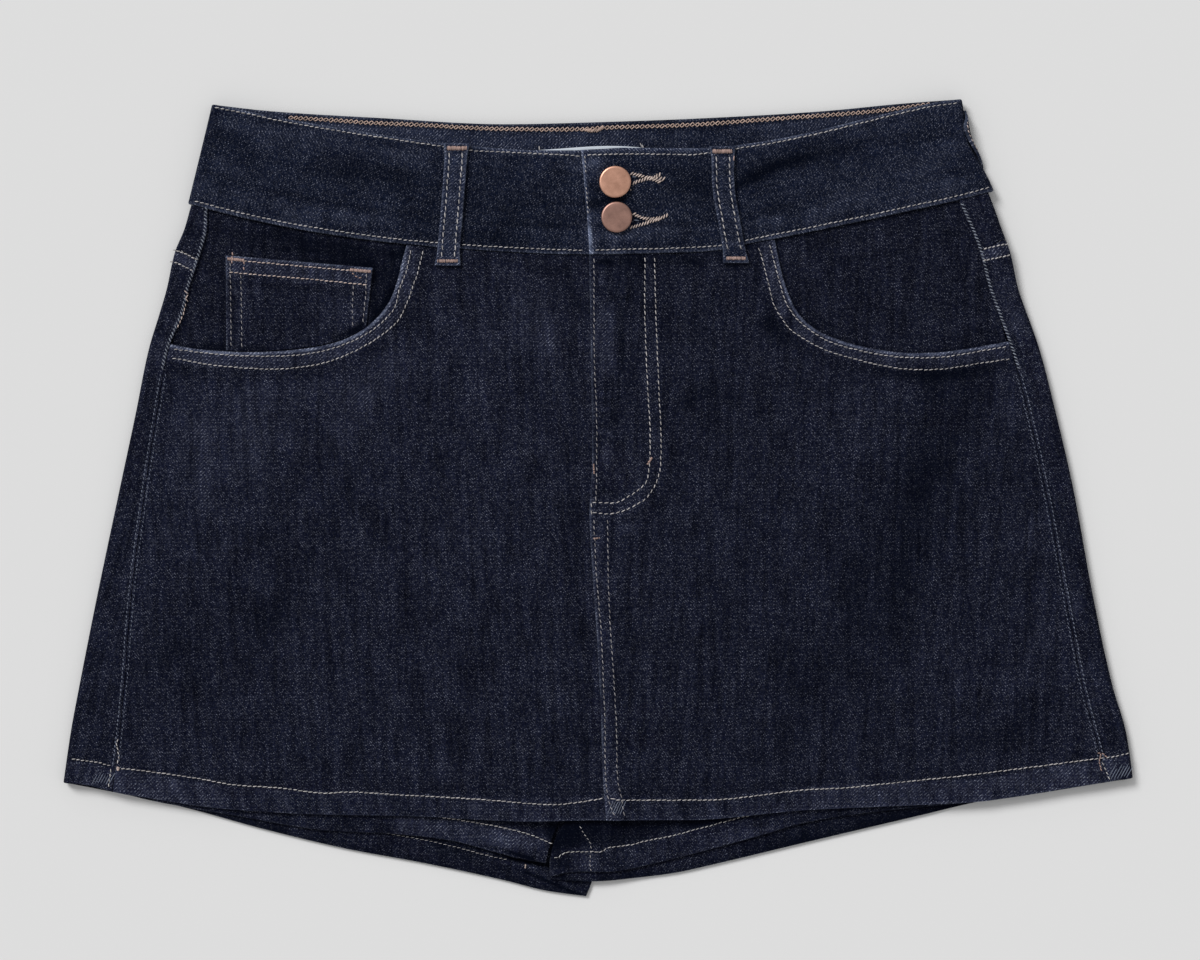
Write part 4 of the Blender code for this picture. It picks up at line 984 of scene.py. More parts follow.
def facing_relief(x, y):
    """Height and tone of a pocket facing over its plain level."""
    height, tone = marks(x, y, FACING_MARKS)
    far = mouths[-1 if np.mean(x) < 0 else 1].near(x, y)[0]
    height = height + 0.12 * wave(x + 0.6 * y, 17.0, 2.0) + 0.08 * wave(y, 11.0, 1.0) - 0.1
    # darker right beside the mouth's edge: painted shadow under it
    return height, tone - 0.1 - 0.6 * bump(far, 1.9)


def facing_top(x, y):
    """The outer height of a facing, which stays under the skirt front."""
    return front_level(x, y) - CLOTH - LAYER_GAP + waist_lift(y) + np.minimum(facing_relief(x, y)[0], 0.25)


def coin_relief(x, y):
    """The coin pocket: its turned top, its double-stitched sides."""
    height, tone = marks(x, y, COIN_MARKS)
    outer = x - COIN_OUTER_X
    top = mix(COIN_OUTER_Y, COIN_INNER_Y, outer / (COIN_INNER_TOP_X - COIN_OUTER_X)) - y
    inner = mix(COIN_INNER_TOP_X, COIN_INNER_LOW_X, np.clip((COIN_INNER_Y - y) / 30.0, 0, 1)) - x
    band = 1 - ramp(top, 9.3, 10.3)
    sides = np.maximum(1 - ramp(outer, 7.6, 8.8), 1 - ramp(inner, 8.2, 9.4))
    ripple = wave(x, 8.0, 2.0)
    height = height + 0.35 * band + 0.14 * ripple * band + 0.18 * sides
    height = height + groove(top - 2.4) + groove(top - 9.1, 0.25) + groove(outer - 2.6) + groove(outer - 8.0)
    height = height + groove(inner - 2.4) + 0.06 * wave(x - y, 21.0)
    tone = tone + band * (0.55 + 0.25 * ripple) + 0.22 * sides * (1 + wave(y, 6.0)) + 0.1
    tone = tone + 0.6 * bump(top - 0.9, 0.9) + 0.4 * bump(top - 11.0, 1.2) - 0.5 * bump(top - 14.0, 1.6)
    tone = tone + 0.25 * (1 + wave(y, 9.0)) * bump(outer - 0.6, 0.8) + 0.25 * bump(inner - 0.6, 0.9)
    return height, tone, np.minimum(np.minimum(top, outer), inner)


def coin_top(x, y):
    """The outer height of the coin pocket."""
    return front_level(x, y) + waist_lift(y) + coin_relief(x, y)[0]


def band_relief(x, y):
    """Height, tone and distance to the worn edges on the waistband's front."""
    top, low = band_front_top(x) - y, y - band_front_low(x)
    height, tone = marks(x, y, BAND_MARKS)
    upper, lower = 1 - ramp(top, 9.0, 12.0), 1 - ramp(low, 11.5, 14.5)
    ripple = wave(x - 0.3 * y, 8.4, 1.0)
    broad = wave(x, 24.0, 3.0)
    height = height + 0.14 * upper + lower * (0.2 + 0.2 * ripple) + 0.1 * upper * wave(x, 13.0, 2.0)
    height = height + groove(top - 2.2) + groove(low - 2.3, 0.25) + 0.12 * broad + 0.1 * wave(y, 19.0, 4.0)
    tone = tone + upper * (0.2 + 0.12 * broad) + lower * (0.22 + 0.26 * ripple)
    tone = tone + 0.75 * bump(top - 0.7, 1.1) + 0.5 * bump(low - 0.8, 0.9) - 0.15 * bump(low - 5.0, 2.0)
    return height, tone, np.minimum(top, low)


def band_height(x, y, over):
    """The outer height of the waistband's front, on its over or under end."""
    level = np.where(over, band_over_level(x), band_under_level(x))
    return level + waist_lift(y) + band_relief(x, y)[0]


def wrap_relief(x, y, side):
    """The back's cloth where it comes round on to the front."""
    fold, seam = folds[side](y), seams[side](y)
    height, tone = marks(x, y, WRAP_MARKS)
    off = np.abs(x - seam)
    yoke = yoke_low(x) - YOKE_WRAP_DROP * np.clip((fold - x) / (fold - seam), 0, 1) - y
    below = bump(yoke - 3.4, 3.6) * ramp(yoke, -0.2, 1.0)
    ripple = wave(y - 0.7 * off, 10.0, 2.0 + side)
    strip = ramp(yoke, -0.3, 0.6) * (1 - ramp(yoke, 7.2, 8.6))
    height = height + 0.16 * ripple + 0.1 * below + 0.45 * strip + groove(np.abs(yoke - 4.0) - 3.0, 0.15)
    tone = tone + 0.2 * ripple + 0.15 * below + 0.8 * strip + 0.5 * bump(off - 0.8, 0.8) - 0.05
    # darker along the side fold, low on the garment: painted shade
    tone = tone - 0.4 * bump(fold - x, 3.2) * ramp(-y, 20, 60)
    return height, tone


# ------------------------------------------------------- where the threads run
ROUTES = {
    "band_top_under": [
        (-203.3, 206.7), (-186.3, 203.5), (-166.7, 199.3), (-132.8, 193.5), (-108.9, 190), (-84, 186.3),
        (-67, 183.9), (-43.2, 182.9), (-13.5, 181.3), (-9.8, 180.7),
    ],
    "band_top_over": [
        (-6.2, 181.5), (9.3, 181.9), (23.1, 181.9), (39.5, 181.8), (51.7, 181.8), (73.4, 185), (94.1, 188.2),
        (124.3, 194.8), (154, 202.2), (176.2, 207.2), (190.1, 208.9),
    ],
    "band_low_under": [
        (-214, 157.2), (-192.1, 151.6), (-162.4, 145.2), (-132.8, 140.5), (-103.1, 136.7), (-85.6, 135.2),
        (-71.8, 134.1), (-43.2, 132.5), (-8.2, 131.1),
    ],
    "band_low_over": [
        (-2, 131.2), (17.8, 131.6), (34.7, 132), (64.4, 133.6), (79.2, 136.7), (108.9, 142.6),
        (139.1, 148.9), (168.8, 155.3), (191.1, 160.1), (207, 164.4),
    ],
    "mouth_right_inner": [
        (-225.2, 78.8), (-194.8, 75.6), (-166.2, 75.3), (-143.9, 78.4), (-123.8, 86.4), (-109.4, 98.6),
        (-105.2, 111.3), (-102.3, 118.2), (-100.4, 126.1), (-99.2, 131.4),
    ],
    "mouth_right_outer": [
        (-226, 74.2), (-204.8, 70.5), (-182.6, 68.6), (-164, 68.6), (-143.9, 72.1), (-123.8, 80.6),
        (-107.3, 92.8), (-100.4, 106), (-98.3, 112.4), (-95.7, 119.2), (-94.2, 126.1), (-92.6, 131),
    ],
    "mouth_left_inner": [
        (90.6, 134.2), (93, 125.1), (95.1, 117.1), (98.8, 104.9), (102, 99.1), (107.3, 92.8), (121.6, 83.2),
        (141.8, 77.4), (161.9, 74.5), (182.6, 74.7), (202.7, 77.9), (216.4, 80.2),
    ],
    "mouth_left_outer": [
        (84.6, 132.8), (86.7, 126.7), (88.5, 119.2), (90.4, 112.4), (93, 102.3), (96.7, 95.9), (101.5, 89.6),
        (109.4, 84), (121.6, 77.9), (141.8, 72.1), (161.9, 68.4), (182.6, 68.4), (202.7, 71.5),
        (218.1, 73.7),
    ],
    "coin_top": [(-195.8, 126.2), (-158.2, 122.8), (-121.8, 119.6)],
    "coin_top_low": [(-195.8, 119.5), (-158.2, 116.3), (-122.7, 112.9)],
    "coin_outer": [(-195, 125.1), (-194.8, 104.9), (-194.8, 80)],
    "coin_outer_second": [(-189.5, 118.7), (-189.2, 99.6), (-189.2, 79.5)],
    "coin_inner": [(-122.7, 119.2), (-123.6, 104.9), (-125, 92.6)],
    "coin_inner_second": [(-129.8, 112.9), (-130.4, 102.3), (-130.1, 90.6)],
    "fly_edge": [(-2.4, 127.2), (-2.2, 75.8), (-1, 45.6), (-1, 14.8), (-1.4, -2)],
    "fly_inner": [
        (24.6, 127.6), (24.6, 96.5), (26.2, 55.7), (27.3, 39.2), (27.3, 23.3), (26.2, 11.1), (23.1, 5.8),
        (17.2, 1.6), (11.9, -1.6), (6.6, -2.7), (-3.6, -2.4),
    ],
    "fly_outer": [
        (29.7, 127.6), (30.5, 96.5), (32.1, 55.7), (33.1, 35.5), (33.1, 21.7), (32.1, 12.7), (29.4, 5.8),
        (24.9, -0.5), (18.8, -4.2), (11.9, -7.4), (5, -8.5), (-3.6, -7.6),
    ],
    "fly_foot": [(-3.7, -2.1), (-3.9, -9.5)],
    "centre_edge": [
        (-2.4, -11.1), (-1.8, -26.5), (-0.9, -43.5), (0, -53.5), (0.8, -64.1), (1.5, -72.1), (3.4, -117.7),
        (3.6, -145), (5.4, -160), (8.6, -168.5),
    ],
    "centre_second": [
        (4.8, -11.1), (5, -26.5), (5.3, -42.9), (5.6, -53.5), (6.1, -64.1), (6.6, -73.1), (9.4, -117.7),
        (10, -146), (12, -158), (13.8, -168.5),
    ],
    "inseam": [
        (-10.1, -173.7), (-8.1, -177.3), (-4.5, -182.7), (-4.1, -187.5), (-4.5, -194.7), (-3.7, -198.2),
    ],
    "skirt_hem_right": [
        (-256, -143.2), (-239.8, -144.8), (-209.6, -149.1), (-193.2, -152.1), (-168.8, -153.7),
        (-148.7, -156.3), (-130.6, -155.8), (-108.4, -157.2), (-87.7, -158.2), (-61.7, -159.8),
        (-27.3, -162.3), (-10.9, -161.1), (2.4, -159),
    ],
    "skirt_hem_left": [
        (6.4, -158.8), (13.5, -159.8), (43.7, -160.1), (64.9, -159.8), (86.1, -157.4), (107.3, -154.8),
        (128.5, -153.7), (150.3, -151.6), (171.5, -149.5), (192.7, -147.3), (213.9, -144.7), (235.1, -142),
        (262.6, -138.3), (268, -138),
    ],
    "chain": [
        (-164.5, 201.5), (-144.4, 200.3), (-122.2, 198.8), (-95.1, 197.6), (-62.8, 195.8), (-30, 195.2),
        (-4.5, 195.4), (4, 196.2), (49.6, 197.7), (94.1, 200.9), (139.1, 204.1), (161.4, 206.7),
        (176, 208.6),
    ],
    "yoke_right_upper": [(-225.4, 131.6), (-218.8, 129.2), (-211.9, 125.8)],
    "yoke_right_lower": [(-227, 125.4), (-222, 123.8), (-214.6, 120.2)],
    "yoke_left_upper": [(203.6, 131.8), (217.2, 134.6)],
    "yoke_left_lower": [(203.2, 125.4), (218.1, 128.6)],
    "leg_right_front": [
        (-158.2, -162.2), (-131.7, -164.6), (-105.2, -166.4), (-89.3, -168.5), (-74.5, -170.7),
        (-61.7, -172.8), (-51.1, -174.8), (-40.5, -177.4), (-30.9, -180.6), (-24.4, -183.6),
    ],
    "leg_left_front": [
        (-23.9, -190.5), (-21, -190.6), (-17.8, -188), (-4.5, -187.4), (1.3, -187.8), (5, -185.5),
        (17.2, -184), (26.8, -181.6), (38.4, -179.5), (47.4, -177), (57.5, -174.4), (68.6, -171.4),
        (90.9, -165.8), (117.4, -160),
    ],
    "leg_right_back": [
        (-142.3, -172.1), (-116.3, -177.4), (-94.6, -181.2), (-75, -185.6), (-61.7, -189.2), (-48.3, -192.2),
    ],
}
fly_rows = [Route(ROUTES["fly_inner"]), Route(ROUTES["fly_outer"])]

# By side: where the hem's rows go on round the side, and the rubbed twill beside the
# side seam as x and y of its first yarn, number of yarns, their spacing and rise
HEM_ENDS = {
    -1: [
        [(-279.2, -138.3), (-267.3, -139.7), (-258.2, -141.9)], [(-258.2, -143.3), (-259.6, -153.4)],
        [(-254.1, -127.7), (-255.4, -130), (-254.1, -136.7), (-255, -141)],
    ],
    1: [[(268.6, -137.7), (275, -136.5), (281.2, -135.2)], [(266.8, -139.8), (270.8, -149.6)]],
}
WORN_TWILL = {
    -1: [(-268.8, -152.4, 7, 1.5, 9.6)],
    1: [(269.6, -149.4, 5, 1.6, 10.0), (276.6, -148.0, 3, 1.6, 8.0)],
}

# --------------------------------------------------------------------- materials
denim_cloth = denim("denim", depth=1.09)
denim_band = denim("denim_waistband", depth=1.18, streak=0.45, warm=0.8)
denim_inside = denim("denim_pocket", depth=1.02)
topstitch = thread("thread_cream", (0.53, 0.505, 0.5, 1))
dim_thread = thread("thread_grey", (0.35, 0.335, 0.345, 1))
tack_thread = thread("thread_rose", (0.44, 0.305, 0.27, 1))
seam_thread = thread("thread_blue_grey", (0.17, 0.195, 0.26, 1))
chain_thread = thread("thread_brown", (0.56, 0.41, 0.345, 1))
hole_thread = thread("thread_sand", (0.63, 0.51, 0.46, 1))
whip_thread = thread("thread_pale_blue", (0.26, 0.29, 0.345, 1))
# the lower button's copper is a darker copy of the upper one's, with the same roughness
copper_bright = copper("copper_bright", (0.78, 0.44, 0.32, 1), (0.46, 0.24, 0.165, 1))
copper_darker = copper("copper_darker", (0.45, 0.26, 0.21, 1), (0.21, 0.12, 0.10, 1))
label_satin = satin("label_satin")


# ------------------------------------------------------------------- cloth pieces
def waist_row(xs):
    """Points just below the waistband's front."""
    return np.stack([xs, band_front_low(xs) - SEAM_GAP], axis=-1)


def skirt_fronts():
    """The skirt's two fronts, lapped at the centre."""
    lap_x = CENTRE_FRONT[0][0]
    for side, mouth_end in ((-1, MOUTH_RIGHT_SIDE[-1][0]), (1, MOUTH_LEFT_SIDE[-1][0])):
        route, seam = mouths[side], seams[side]
        side_edge = lambda y: seam(y) - side * SEAM_GAP / 2
        start = route.along[np.argmax(-side * (route.x - side_edge(route.y)) > 0)]
        steps = start + graded(route.length - start, EDGE[:6], (0, 1.4), 1.7)
        mouth = np.stack(route.at(steps), axis=-1)
        mouth[0] = (side_edge(mouth[0, 1]), mouth[0, 1])
        if side < 0:
            run = lap_x + UNDERLAP - mouth_end
            waist = waist_row(mouth_end + graded(run, (0, 1.6), PLAIN_EDGE, 2.2)[1:])
            top = np.vstack([mouth, waist])
            edges = (side_edge, lambda y: centre_front(y) + UNDERLAP)
        else:
            fly_steps = EDGE[:-1] + tuple(np.arange(EDGE[-1] + 0.2, 42.0, 0.9))
            waist = waist_row(lap_x + graded(mouth_end - lap_x, fly_steps, (0, 1.6), 2.1)[:-1])
            top = np.vstack([waist, mouth[::-1]])
            edges = (centre_front, side_edge)
        x, y = panel(top, *edges, skirt_hem, WIDE_EDGE, WIDE_EDGE, 2.2)
        relief, tone, edge = skirt_relief(x, y, side)
        roll = rolled(np.minimum(edge, np.abs(x - seam(y))))
        roll = np.maximum(roll, rolled(band_front_low(x) - y, 0.4))
        level = front_level(x, y) + waist_lift(y) + relief + (fly_rise(x, y) if side > 0 else 0.0)
        thickness = CLOTH + HEM_RAISE * hem_share(y - skirt_hem(x))
        lean = 0.045 * side * (y - 130)
        weave = (x - lean + 3 * side, y)
        cloth("front_" + WORDS[side], x, y, level, True, thickness, roll, weave, edge, tone, denim_cloth)


def facings():
    """The pocket facings, from the waist to a little way under each pocket mouth."""
    for side, table in ((-1, MOUTH_RIGHT_SIDE), (1, MOUTH_LEFT_SIDE)):
        low = []
        for before, here, after in zip(table[:1] + table, table, table[1:] + table[-1:]):
            run_x, run_y = after[0] - before[0], after[1] - before[1]
            reach = side * FACING_LAP / math.hypot(run_x, run_y)
            low.append((here[0] - run_y * reach, here[1] + run_x * reach))
        low_route = Route(low)
        low_row = np.stack(low_route.at(np.linspace(0, low_route.length, 90)), axis=-1)
        corner = seams[side](150.0) + side * SEAM_GAP
        high_row = waist_row(np.linspace(corner, low[-1][0], 90))
        grid = mix(high_row[None], low_row[None], np.linspace(0, 1, 62)[:, None, None])
        x, y = grid[:, :, 0], grid[:, :, 1]
        # darker under the waistband's lower edge: painted shade
        tone = facing_relief(x, y)[1] - 0.3 * bump(band_front_low(x) - y, 2.5) - (0.15 if side < 0 else 0.0)
        cloth(
            "pocket_facing_" + WORDS[side], x, y, facing_top(x, y), True, CLOTH, 0.0, (x, y + 0.06 * x), 9.0,
            tone, denim_inside,
        )


def coin_pocket():
    """The coin pocket, from its turned top to the pocket mouth."""
    across = graded(COIN_WIDTH, EDGE, EDGE, 1.5) / COIN_WIDTH
    low_x = mix(COIN_OUTER_X, COIN_INNER_LOW_X, across)
    low_y = smooth(MOUTH_RIGHT_SIDE)(low_x) + 2 * SEAM_GAP
    top_steps = EDGE + (5.2, 6.2, 7.0, 7.8, 8.4, 9.2)
    down = graded(COIN_DEPTH, top_steps, (0, 1.0), 1.4)[:, None] / COIN_DEPTH
    x = mix(mix(COIN_OUTER_X, COIN_INNER_TOP_X, across), low_x, down)
    y = mix(mix(COIN_OUTER_Y, COIN_INNER_Y, across), low_y, down)
    _, tone, edge = coin_relief(x, y)
    cloth("coin_pocket", x, y, coin_top(x, y), True, CLOTH, rolled(edge), (x, y), edge, tone, denim_cloth)


def shorts_fronts():
    """The shorts' fronts, which hang under the skirt front and end in the legs."""
    for side in (-1, 1):
        inner, hem, seam = front_inners[side], front_hems[side], seams[side]
        side_edge = lambda y: seam(y) - side * SEAM_GAP
        start, end = inner(130.0), side_edge(150.0)
        share = graded(abs(end - start), PLAIN_EDGE, PLAIN_EDGE, 2.6) / abs(end - start)
        top = waist_row(mix(start, end, share))
        steps = WIDE_EDGE + tuple(np.arange(18, 40, 2.0))
        x, y = panel(top, inner, side_edge, hem, PLAIN_EDGE, steps, 6.0)
        depth, in_edge = y - hem(x), np.abs(x - inner(y))
        relief, tone = hem_relief(x, depth, 4.0 + side)
        mark_height, mark_tone = marks(x, y, LEG_MARKS)
        # darker above the hem band, under the skirt's hem: painted shade
        tone = tone * 0.85 - 0.12 + mark_tone - 0.5 * ramp(depth, HEM_DEPTH, 18.0)
        cloth(
            "shorts_front_" + WORDS[side], x, y, leg_level(x, y, side) + relief + mark_height, True,
            CLOTH + HEM_RAISE * hem_share(depth), rolled(np.minimum(depth, in_edge)), (x, y),
            np.minimum(depth + 0.6, in_edge + 0.7), tone, denim_cloth,
        )


def wrapped(node, side, high, low, hemmed, lift, below_pitch, rows_pitch):
    """A back piece: flat on the surface, round its side fold and up to the side seam."""
    inner, fold, seam = back_inners[side], folds[side], seams[side]
    below = graded(BACK_WIDTH, PLAIN_EDGE, (0, 0.6), below_pitch)[:-1] / BACK_WIDTH
    arcs = np.linspace(-1, 1, 19)
    above = np.array([0.15, 0.3, 0.45, 0.58, 0.7, 0.79, 0.87, 0.93, 0.96, 0.985, 1.0])
    part = np.concatenate([np.full(len(below), 0), np.full(len(arcs), 1), np.full(len(above), 2)])
    share = np.concatenate([below, arcs, above])
    wrap = np.where(part == 0, -1, np.where(part == 1, np.where(share <= 0, -1, 0), share))

    def arc_at(y):
        out = FOLD_ARC + share * (np.abs(fold(y) - seam(y)) - FOLD_REACH - SEAM_GAP / 2)
        return np.where(part == 2, out, share * FOLD_ARC)

    def x_at(y):
        flat = mix(inner(y), fold(y) - side * FOLD_REACH, share)
        return np.where(part == 0, flat, round_fold(side, fold(y), arc_at(y), 6.0)[0])

    top = settle(lambda x: high(x, wrap), x_at, np.full(len(share), 140.0))
    foot = settle(lambda x: low(x, wrap), x_at, np.full(len(share), -160.0))
    low_steps = WIDE_EDGE if hemmed else PLAIN_EDGE
    rows = []
    for y in rows_down(top, foot, PLAIN_EDGE, low_steps, rows_pitch):
        x, arc = x_at(y), arc_at(y)
        depth = y - foot
        flat_x = fold(y) - side * (FOLD_REACH + np.maximum(arc - FOLD_ARC, 0.0))
        upper = np.where(part == 0, 0.0, ramp(arc, 1.5, FOLD_ARC + 1.0))
        extra = upper * wrap_relief(x, y, side)[0]
        if hemmed:
            extra = extra + hem_relief(y * 0 + x * side, depth, 1.0)[0]
        z = round_fold(side, fold(y), arc, front_level(flat_x, y) + extra)[1]
        rows.append((x, y, np.where(part == 0, lift(x, y), z) + waist_lift(y), depth))
    x, y, z, depth = np.moveaxis(np.array(rows), 1, 0)
    hem_tone = hem_relief(x, depth, 1.0 + side)[1] if hemmed else 0.0
    tone = wrap_relief(x, y, side)[1] + hem_tone
    run = np.linalg.norm(np.diff(np.dstack([x, y, z]), axis=1), axis=2)
    along = np.concatenate([np.zeros((len(x), 1)), np.cumsum(run, axis=1)], axis=1)
    along = -side * (along - along[:, len(below):len(below) + 1])
    thickness = CLOTH + (HEM_RAISE * hem_share(depth) if hemmed else 0.0)
    seam_edge = np.where(part == 2, np.abs(x - seam(y)), 9.0)
    edge = np.where(part == 0, 9.0, 0.9 + seam_edge)
    if hemmed:
        edge = np.minimum(edge, depth + 0.6)
    roll = rolled(np.minimum(seam_edge, depth if hemmed else 9.0))
    within, inner_tone = marks(x, y, INSIDE_MARKS)
    thickness = thickness + np.where(part == 0, within, 0.0)
    # the inner side, which shows from above under the fronts, is darker: painted shade, the more so at the
    # hem's edge
    inner_tone = inner_tone + (0.7 * hem_tone - 0.42 - 0.5 * bump(depth - 0.5, 2.2) if hemmed else -0.3)
    cloth(node, x, y, z, False, thickness, roll, (along, y), edge, tone, denim_cloth, inner_tone=inner_tone)


def backs():
    """The back yokes and the shorts' backs with their legs."""
    waist_edge = lambda x, wrap: np.where(wrap < 0, band_back_low(x), band_front_low(x)) - SEAM_GAP
    yoke_edge = lambda x, wrap: yoke_low(x) - YOKE_WRAP_DROP * np.maximum(wrap, 0)
    leg_top = lambda x, wrap: yoke_edge(x, wrap) - SEAM_GAP
    for side, lift in ((-1, on_surface), (1, leg_lift)):
        leg_edge = lambda x, wrap: np.where(wrap < 0, back_hems[side](x), skirt_hem(x))
        wrapped("yoke_" + WORDS[side], side, waist_edge, yoke_edge, False, on_surface, 6.0, 1.6)
        wrapped("back_" + WORDS[side], side, leg_top, leg_edge, True, lift, 4.0, 2.4)


def on_surface(x, y):
    """The height of cloth that lies on the surface."""
    return x * 0.0


def over_end(down):
    """Where the waistband's over end lies, from its top (0) to its lower edge (1)."""
    return mix(-9.3, -4.9, down) + 0.3 * np.sin(math.pi * down)


def band_hollow(down):
    """How far the waistband's left side is drawn in, from its top (0) to its lower edge (1)."""
    return 4.4 * bump(down - 0.42, 0.34)


def waistband():
    """One strip that runs all round, its over end lying on its under end at the centre front."""
    under = graded(BAND_UNDER_RUN, EDGE, (0, 1.6), 1.7)[:-1] / BAND_UNDER_RUN
    arcs = np.linspace(-1, 1, 17)
    back = np.linspace(0, 1, 84)[1:-1]
    over = (1 - graded(BAND_OVER_RUN, EDGE, (0, 1.6), 1.7) / BAND_OVER_RUN)[:-1]
    over = 1 - over[::-1]
    stretches = (under, arcs[::-1], back, arcs, over)
    share = np.concatenate(stretches)[None]
    part = np.concatenate([np.full(len(s), number) for number, s in enumerate(stretches)])[None]
    down = graded(BAND_HEIGHT, EDGE[:8], EDGE[:8], 1.25)[:, None] / BAND_HEIGHT
    right_edge = mix(BAND_BACK_TOP[0][0], BAND_BACK_LOW[0][0], down)
    left_edge = mix(BAND_BACK_TOP[-1][0], BAND_BACK_LOW[-1][0], down) - band_hollow(down)
    right_flat, left_flat = right_edge + FOLD_REACH, left_edge - FOLD_REACH
    fold_x, fold_z = round_fold(
        np.where(part == 1, -1, 1), np.where(part == 1, right_edge, left_edge), share * FOLD_ARC,
        2 * BAND_FOLD_MID, BAND_FOLD_MID)
    flat_parts = [part == 0, part == 4, part == 2]
    x = np.select(flat_parts, [
        mix(BAND_UNDERLAP, right_flat, share), mix(over_end(down), left_flat, share),
        mix(right_flat, left_flat, share),
    ], fold_x)
    z = np.select(flat_parts, [band_under_level(x), band_over_level(x), x * 0.0], fold_z)
    below = (part == 2) | (((part == 1) | (part == 3)) & (share <= 0))
    back_y = mix(band_back_top(x), band_back_low(x), down)
    y = np.where(below, back_y, mix(band_front_top(x), band_front_low(x), down))
    relief, tone, _ = band_relief(x, y)
    inset = np.minimum(x - right_edge, left_edge - x)
    front = np.where((part == 0) | (part == 4), ramp(inset, 3.0, 9.0), 0.0)
    z = z + relief * front + waist_lift(y)
    end = np.where(part == 4, x - over_end(down), np.where(part == 0, BAND_UNDERLAP - x, 99.0))
    edge = np.minimum(np.minimum(down, 1 - down) * BAND_HEIGHT, end)
    lap = (1.1 + 0.4 * down) * bump(end - 0.6, 0.8 + 0.9 * down)
    tone = tone * np.where(below, 0.4, 1.0) + np.where(part == 4, lap, 0.0)
    inside = 1.15 - 0.35 * ramp(x, -110, -20) - 0.6 * bump(x - 60, 34) - 0.35 * bump(x + 90, 22)
    inside = inside - 0.4 * bump(down * BAND_HEIGHT - 1.0, 1.6) + 0.2 * wave(x, 46.0, 1.0)
    # darker round the chain row: painted shade in and beside the chain's loops
    inside = inside - 1.1 * bump(Route(ROUTES["chain"]).near(x, y)[0], 1.5)
    inside = np.where(below, inside, tone)
    run = np.linalg.norm(np.diff(np.dstack([x, y, z]), axis=1), axis=2).mean(axis=0)
    along = np.concatenate([[0], np.cumsum(run)])
    cloth(
        "waistband", x, y, z, True, BAND, rolled(edge, 0.9), (down * BAND_HEIGHT, -along[None]),
        edge, tone, denim_band, "denim_waistband", inner_tone=inside,
    )


LOOP_ACROSS = graded(LOOP_WIDTH, EDGE[:8], EDGE[:8], 0.8)
LOOP_EDGE = np.minimum(LOOP_ACROSS, LOOP_WIDTH - LOOP_ACROSS)
RIGHT_LOOP = [(-75.0, 188.0), (-75.3, 183), (-76.6, 164), (-78.1, 145), (-79.6, 127), (-79.9, 122.8)]
LEFT_LOOP = [(65.5, 186.3), (65.8, 181), (66.2, 164), (68.8, 148), (71.9, 131), (72.8, 124.2)]
BACK_LOOPS = (("belt_loop_back_right", -186.0, -8.0), ("belt_loop_back_centre", 0.0, 0.0))
loop_tops, side_rows = {}, []


def loop_cloth(name, x, y, z, up, along, shift):
    """A belt loop's shell; along is each row's distance down it, shift sets its own tone."""
    ends = np.minimum(along, along[-1] - along)
    worn = np.minimum(LOOP_EDGE[None], ends[:, None] + 0.3)
    # a larger shift makes a loop darker; the side loop's darker tone is painted shade, as it lies deep in
    # the side fold
    tone = 1.08 - 0.35 * shift + 0.3 * wave(along, 9.0, shift)[:, None] + 0.38 * bump(worn - 0.7, 0.8)
    roll = rolled(np.minimum(LOOP_EDGE[None], ends[:, None]), 0.7)
    weave = (LOOP_ACROSS[None], -along[:, None])
    cloth(name, x, y, z, up, LOOP_THICK, roll, weave, worn, tone, denim_band)


def front_loop(name, middle, over):
    """A loop on the waistband's front, a little wider where its ends are folded in."""
    route = Route(middle, 0.5)
    along = graded(route.length, EDGE[:6], EDGE[:6], 1.0)
    x, y = route.at(along)
    down = along / route.length

    def seat(px, py):
        level = band_over_level(px) if over else band_under_level(px)
        front = front_level(px, py) + (fly_rise(px, py) if over else 0.0)
        return np.where(py < band_front_low(px), np.maximum(level, front), level) + waist_lift(py)

    z = np.maximum(seat(x, y), mix(seat(x[0], y[0]), seat(x[-1], y[-1]), down))
    kernel = np.hanning(9) / np.hanning(9).sum()
    z = np.convolve(np.pad(z, 4, mode="edge"), kernel, "valid")
    fold = bump(along - 1.5, 2.4) + bump(route.length - along - 1.5, 2.4)
    z = z + LAYER_GAP + LOOP_THICK + LOOP_ARCH * np.sin(math.pi * down) + 0.15
    z = z + 0.16 * wave(along, 11.0, 1.0 + over) + 0.4 * fold
    flare = bump(along, 5.0) + bump(route.length - along, 5.0)
    half = (LOOP_WIDTH / 2 + 0.9 * flare)[:, None]
    crown = groove(LOOP_EDGE - 2.7, 0.14, 0.6) + 0.15 * bump(LOOP_EDGE, 1.8)
    loop_tops[name] = lambda px, py: np.interp(-py, -y, z)
    grid_x = x[:, None] + half * ((LOOP_ACROSS * 2 / LOOP_WIDTH) - 1)[None]
    loop_cloth(name, grid_x, y[:, None], z[:, None] + crown[None], True, along, 1.0 + over)


def back_loop(name, x, run_out):
    """A loop under the waistband's back, straight, its foot set off by run_out."""
    top, low = back_loop_ends(x)
    along = graded(top - low, EDGE[:5], EDGE[:5], 2.0)
    middle = x + run_out * along / (top - low)
    grid_x = middle[:, None] + (LOOP_ACROSS - LOOP_WIDTH / 2)[None]
    loop_cloth(name, grid_x, (top - along)[:, None], 0.0, False, along, 4.0)


def back_loop_ends(x):
    """y of the top and the foot of a loop under the waistband's back."""
    return float(band_back_top(x)) - LOOP_INSET, float(band_back_low(x)) - LOOP_TAIL


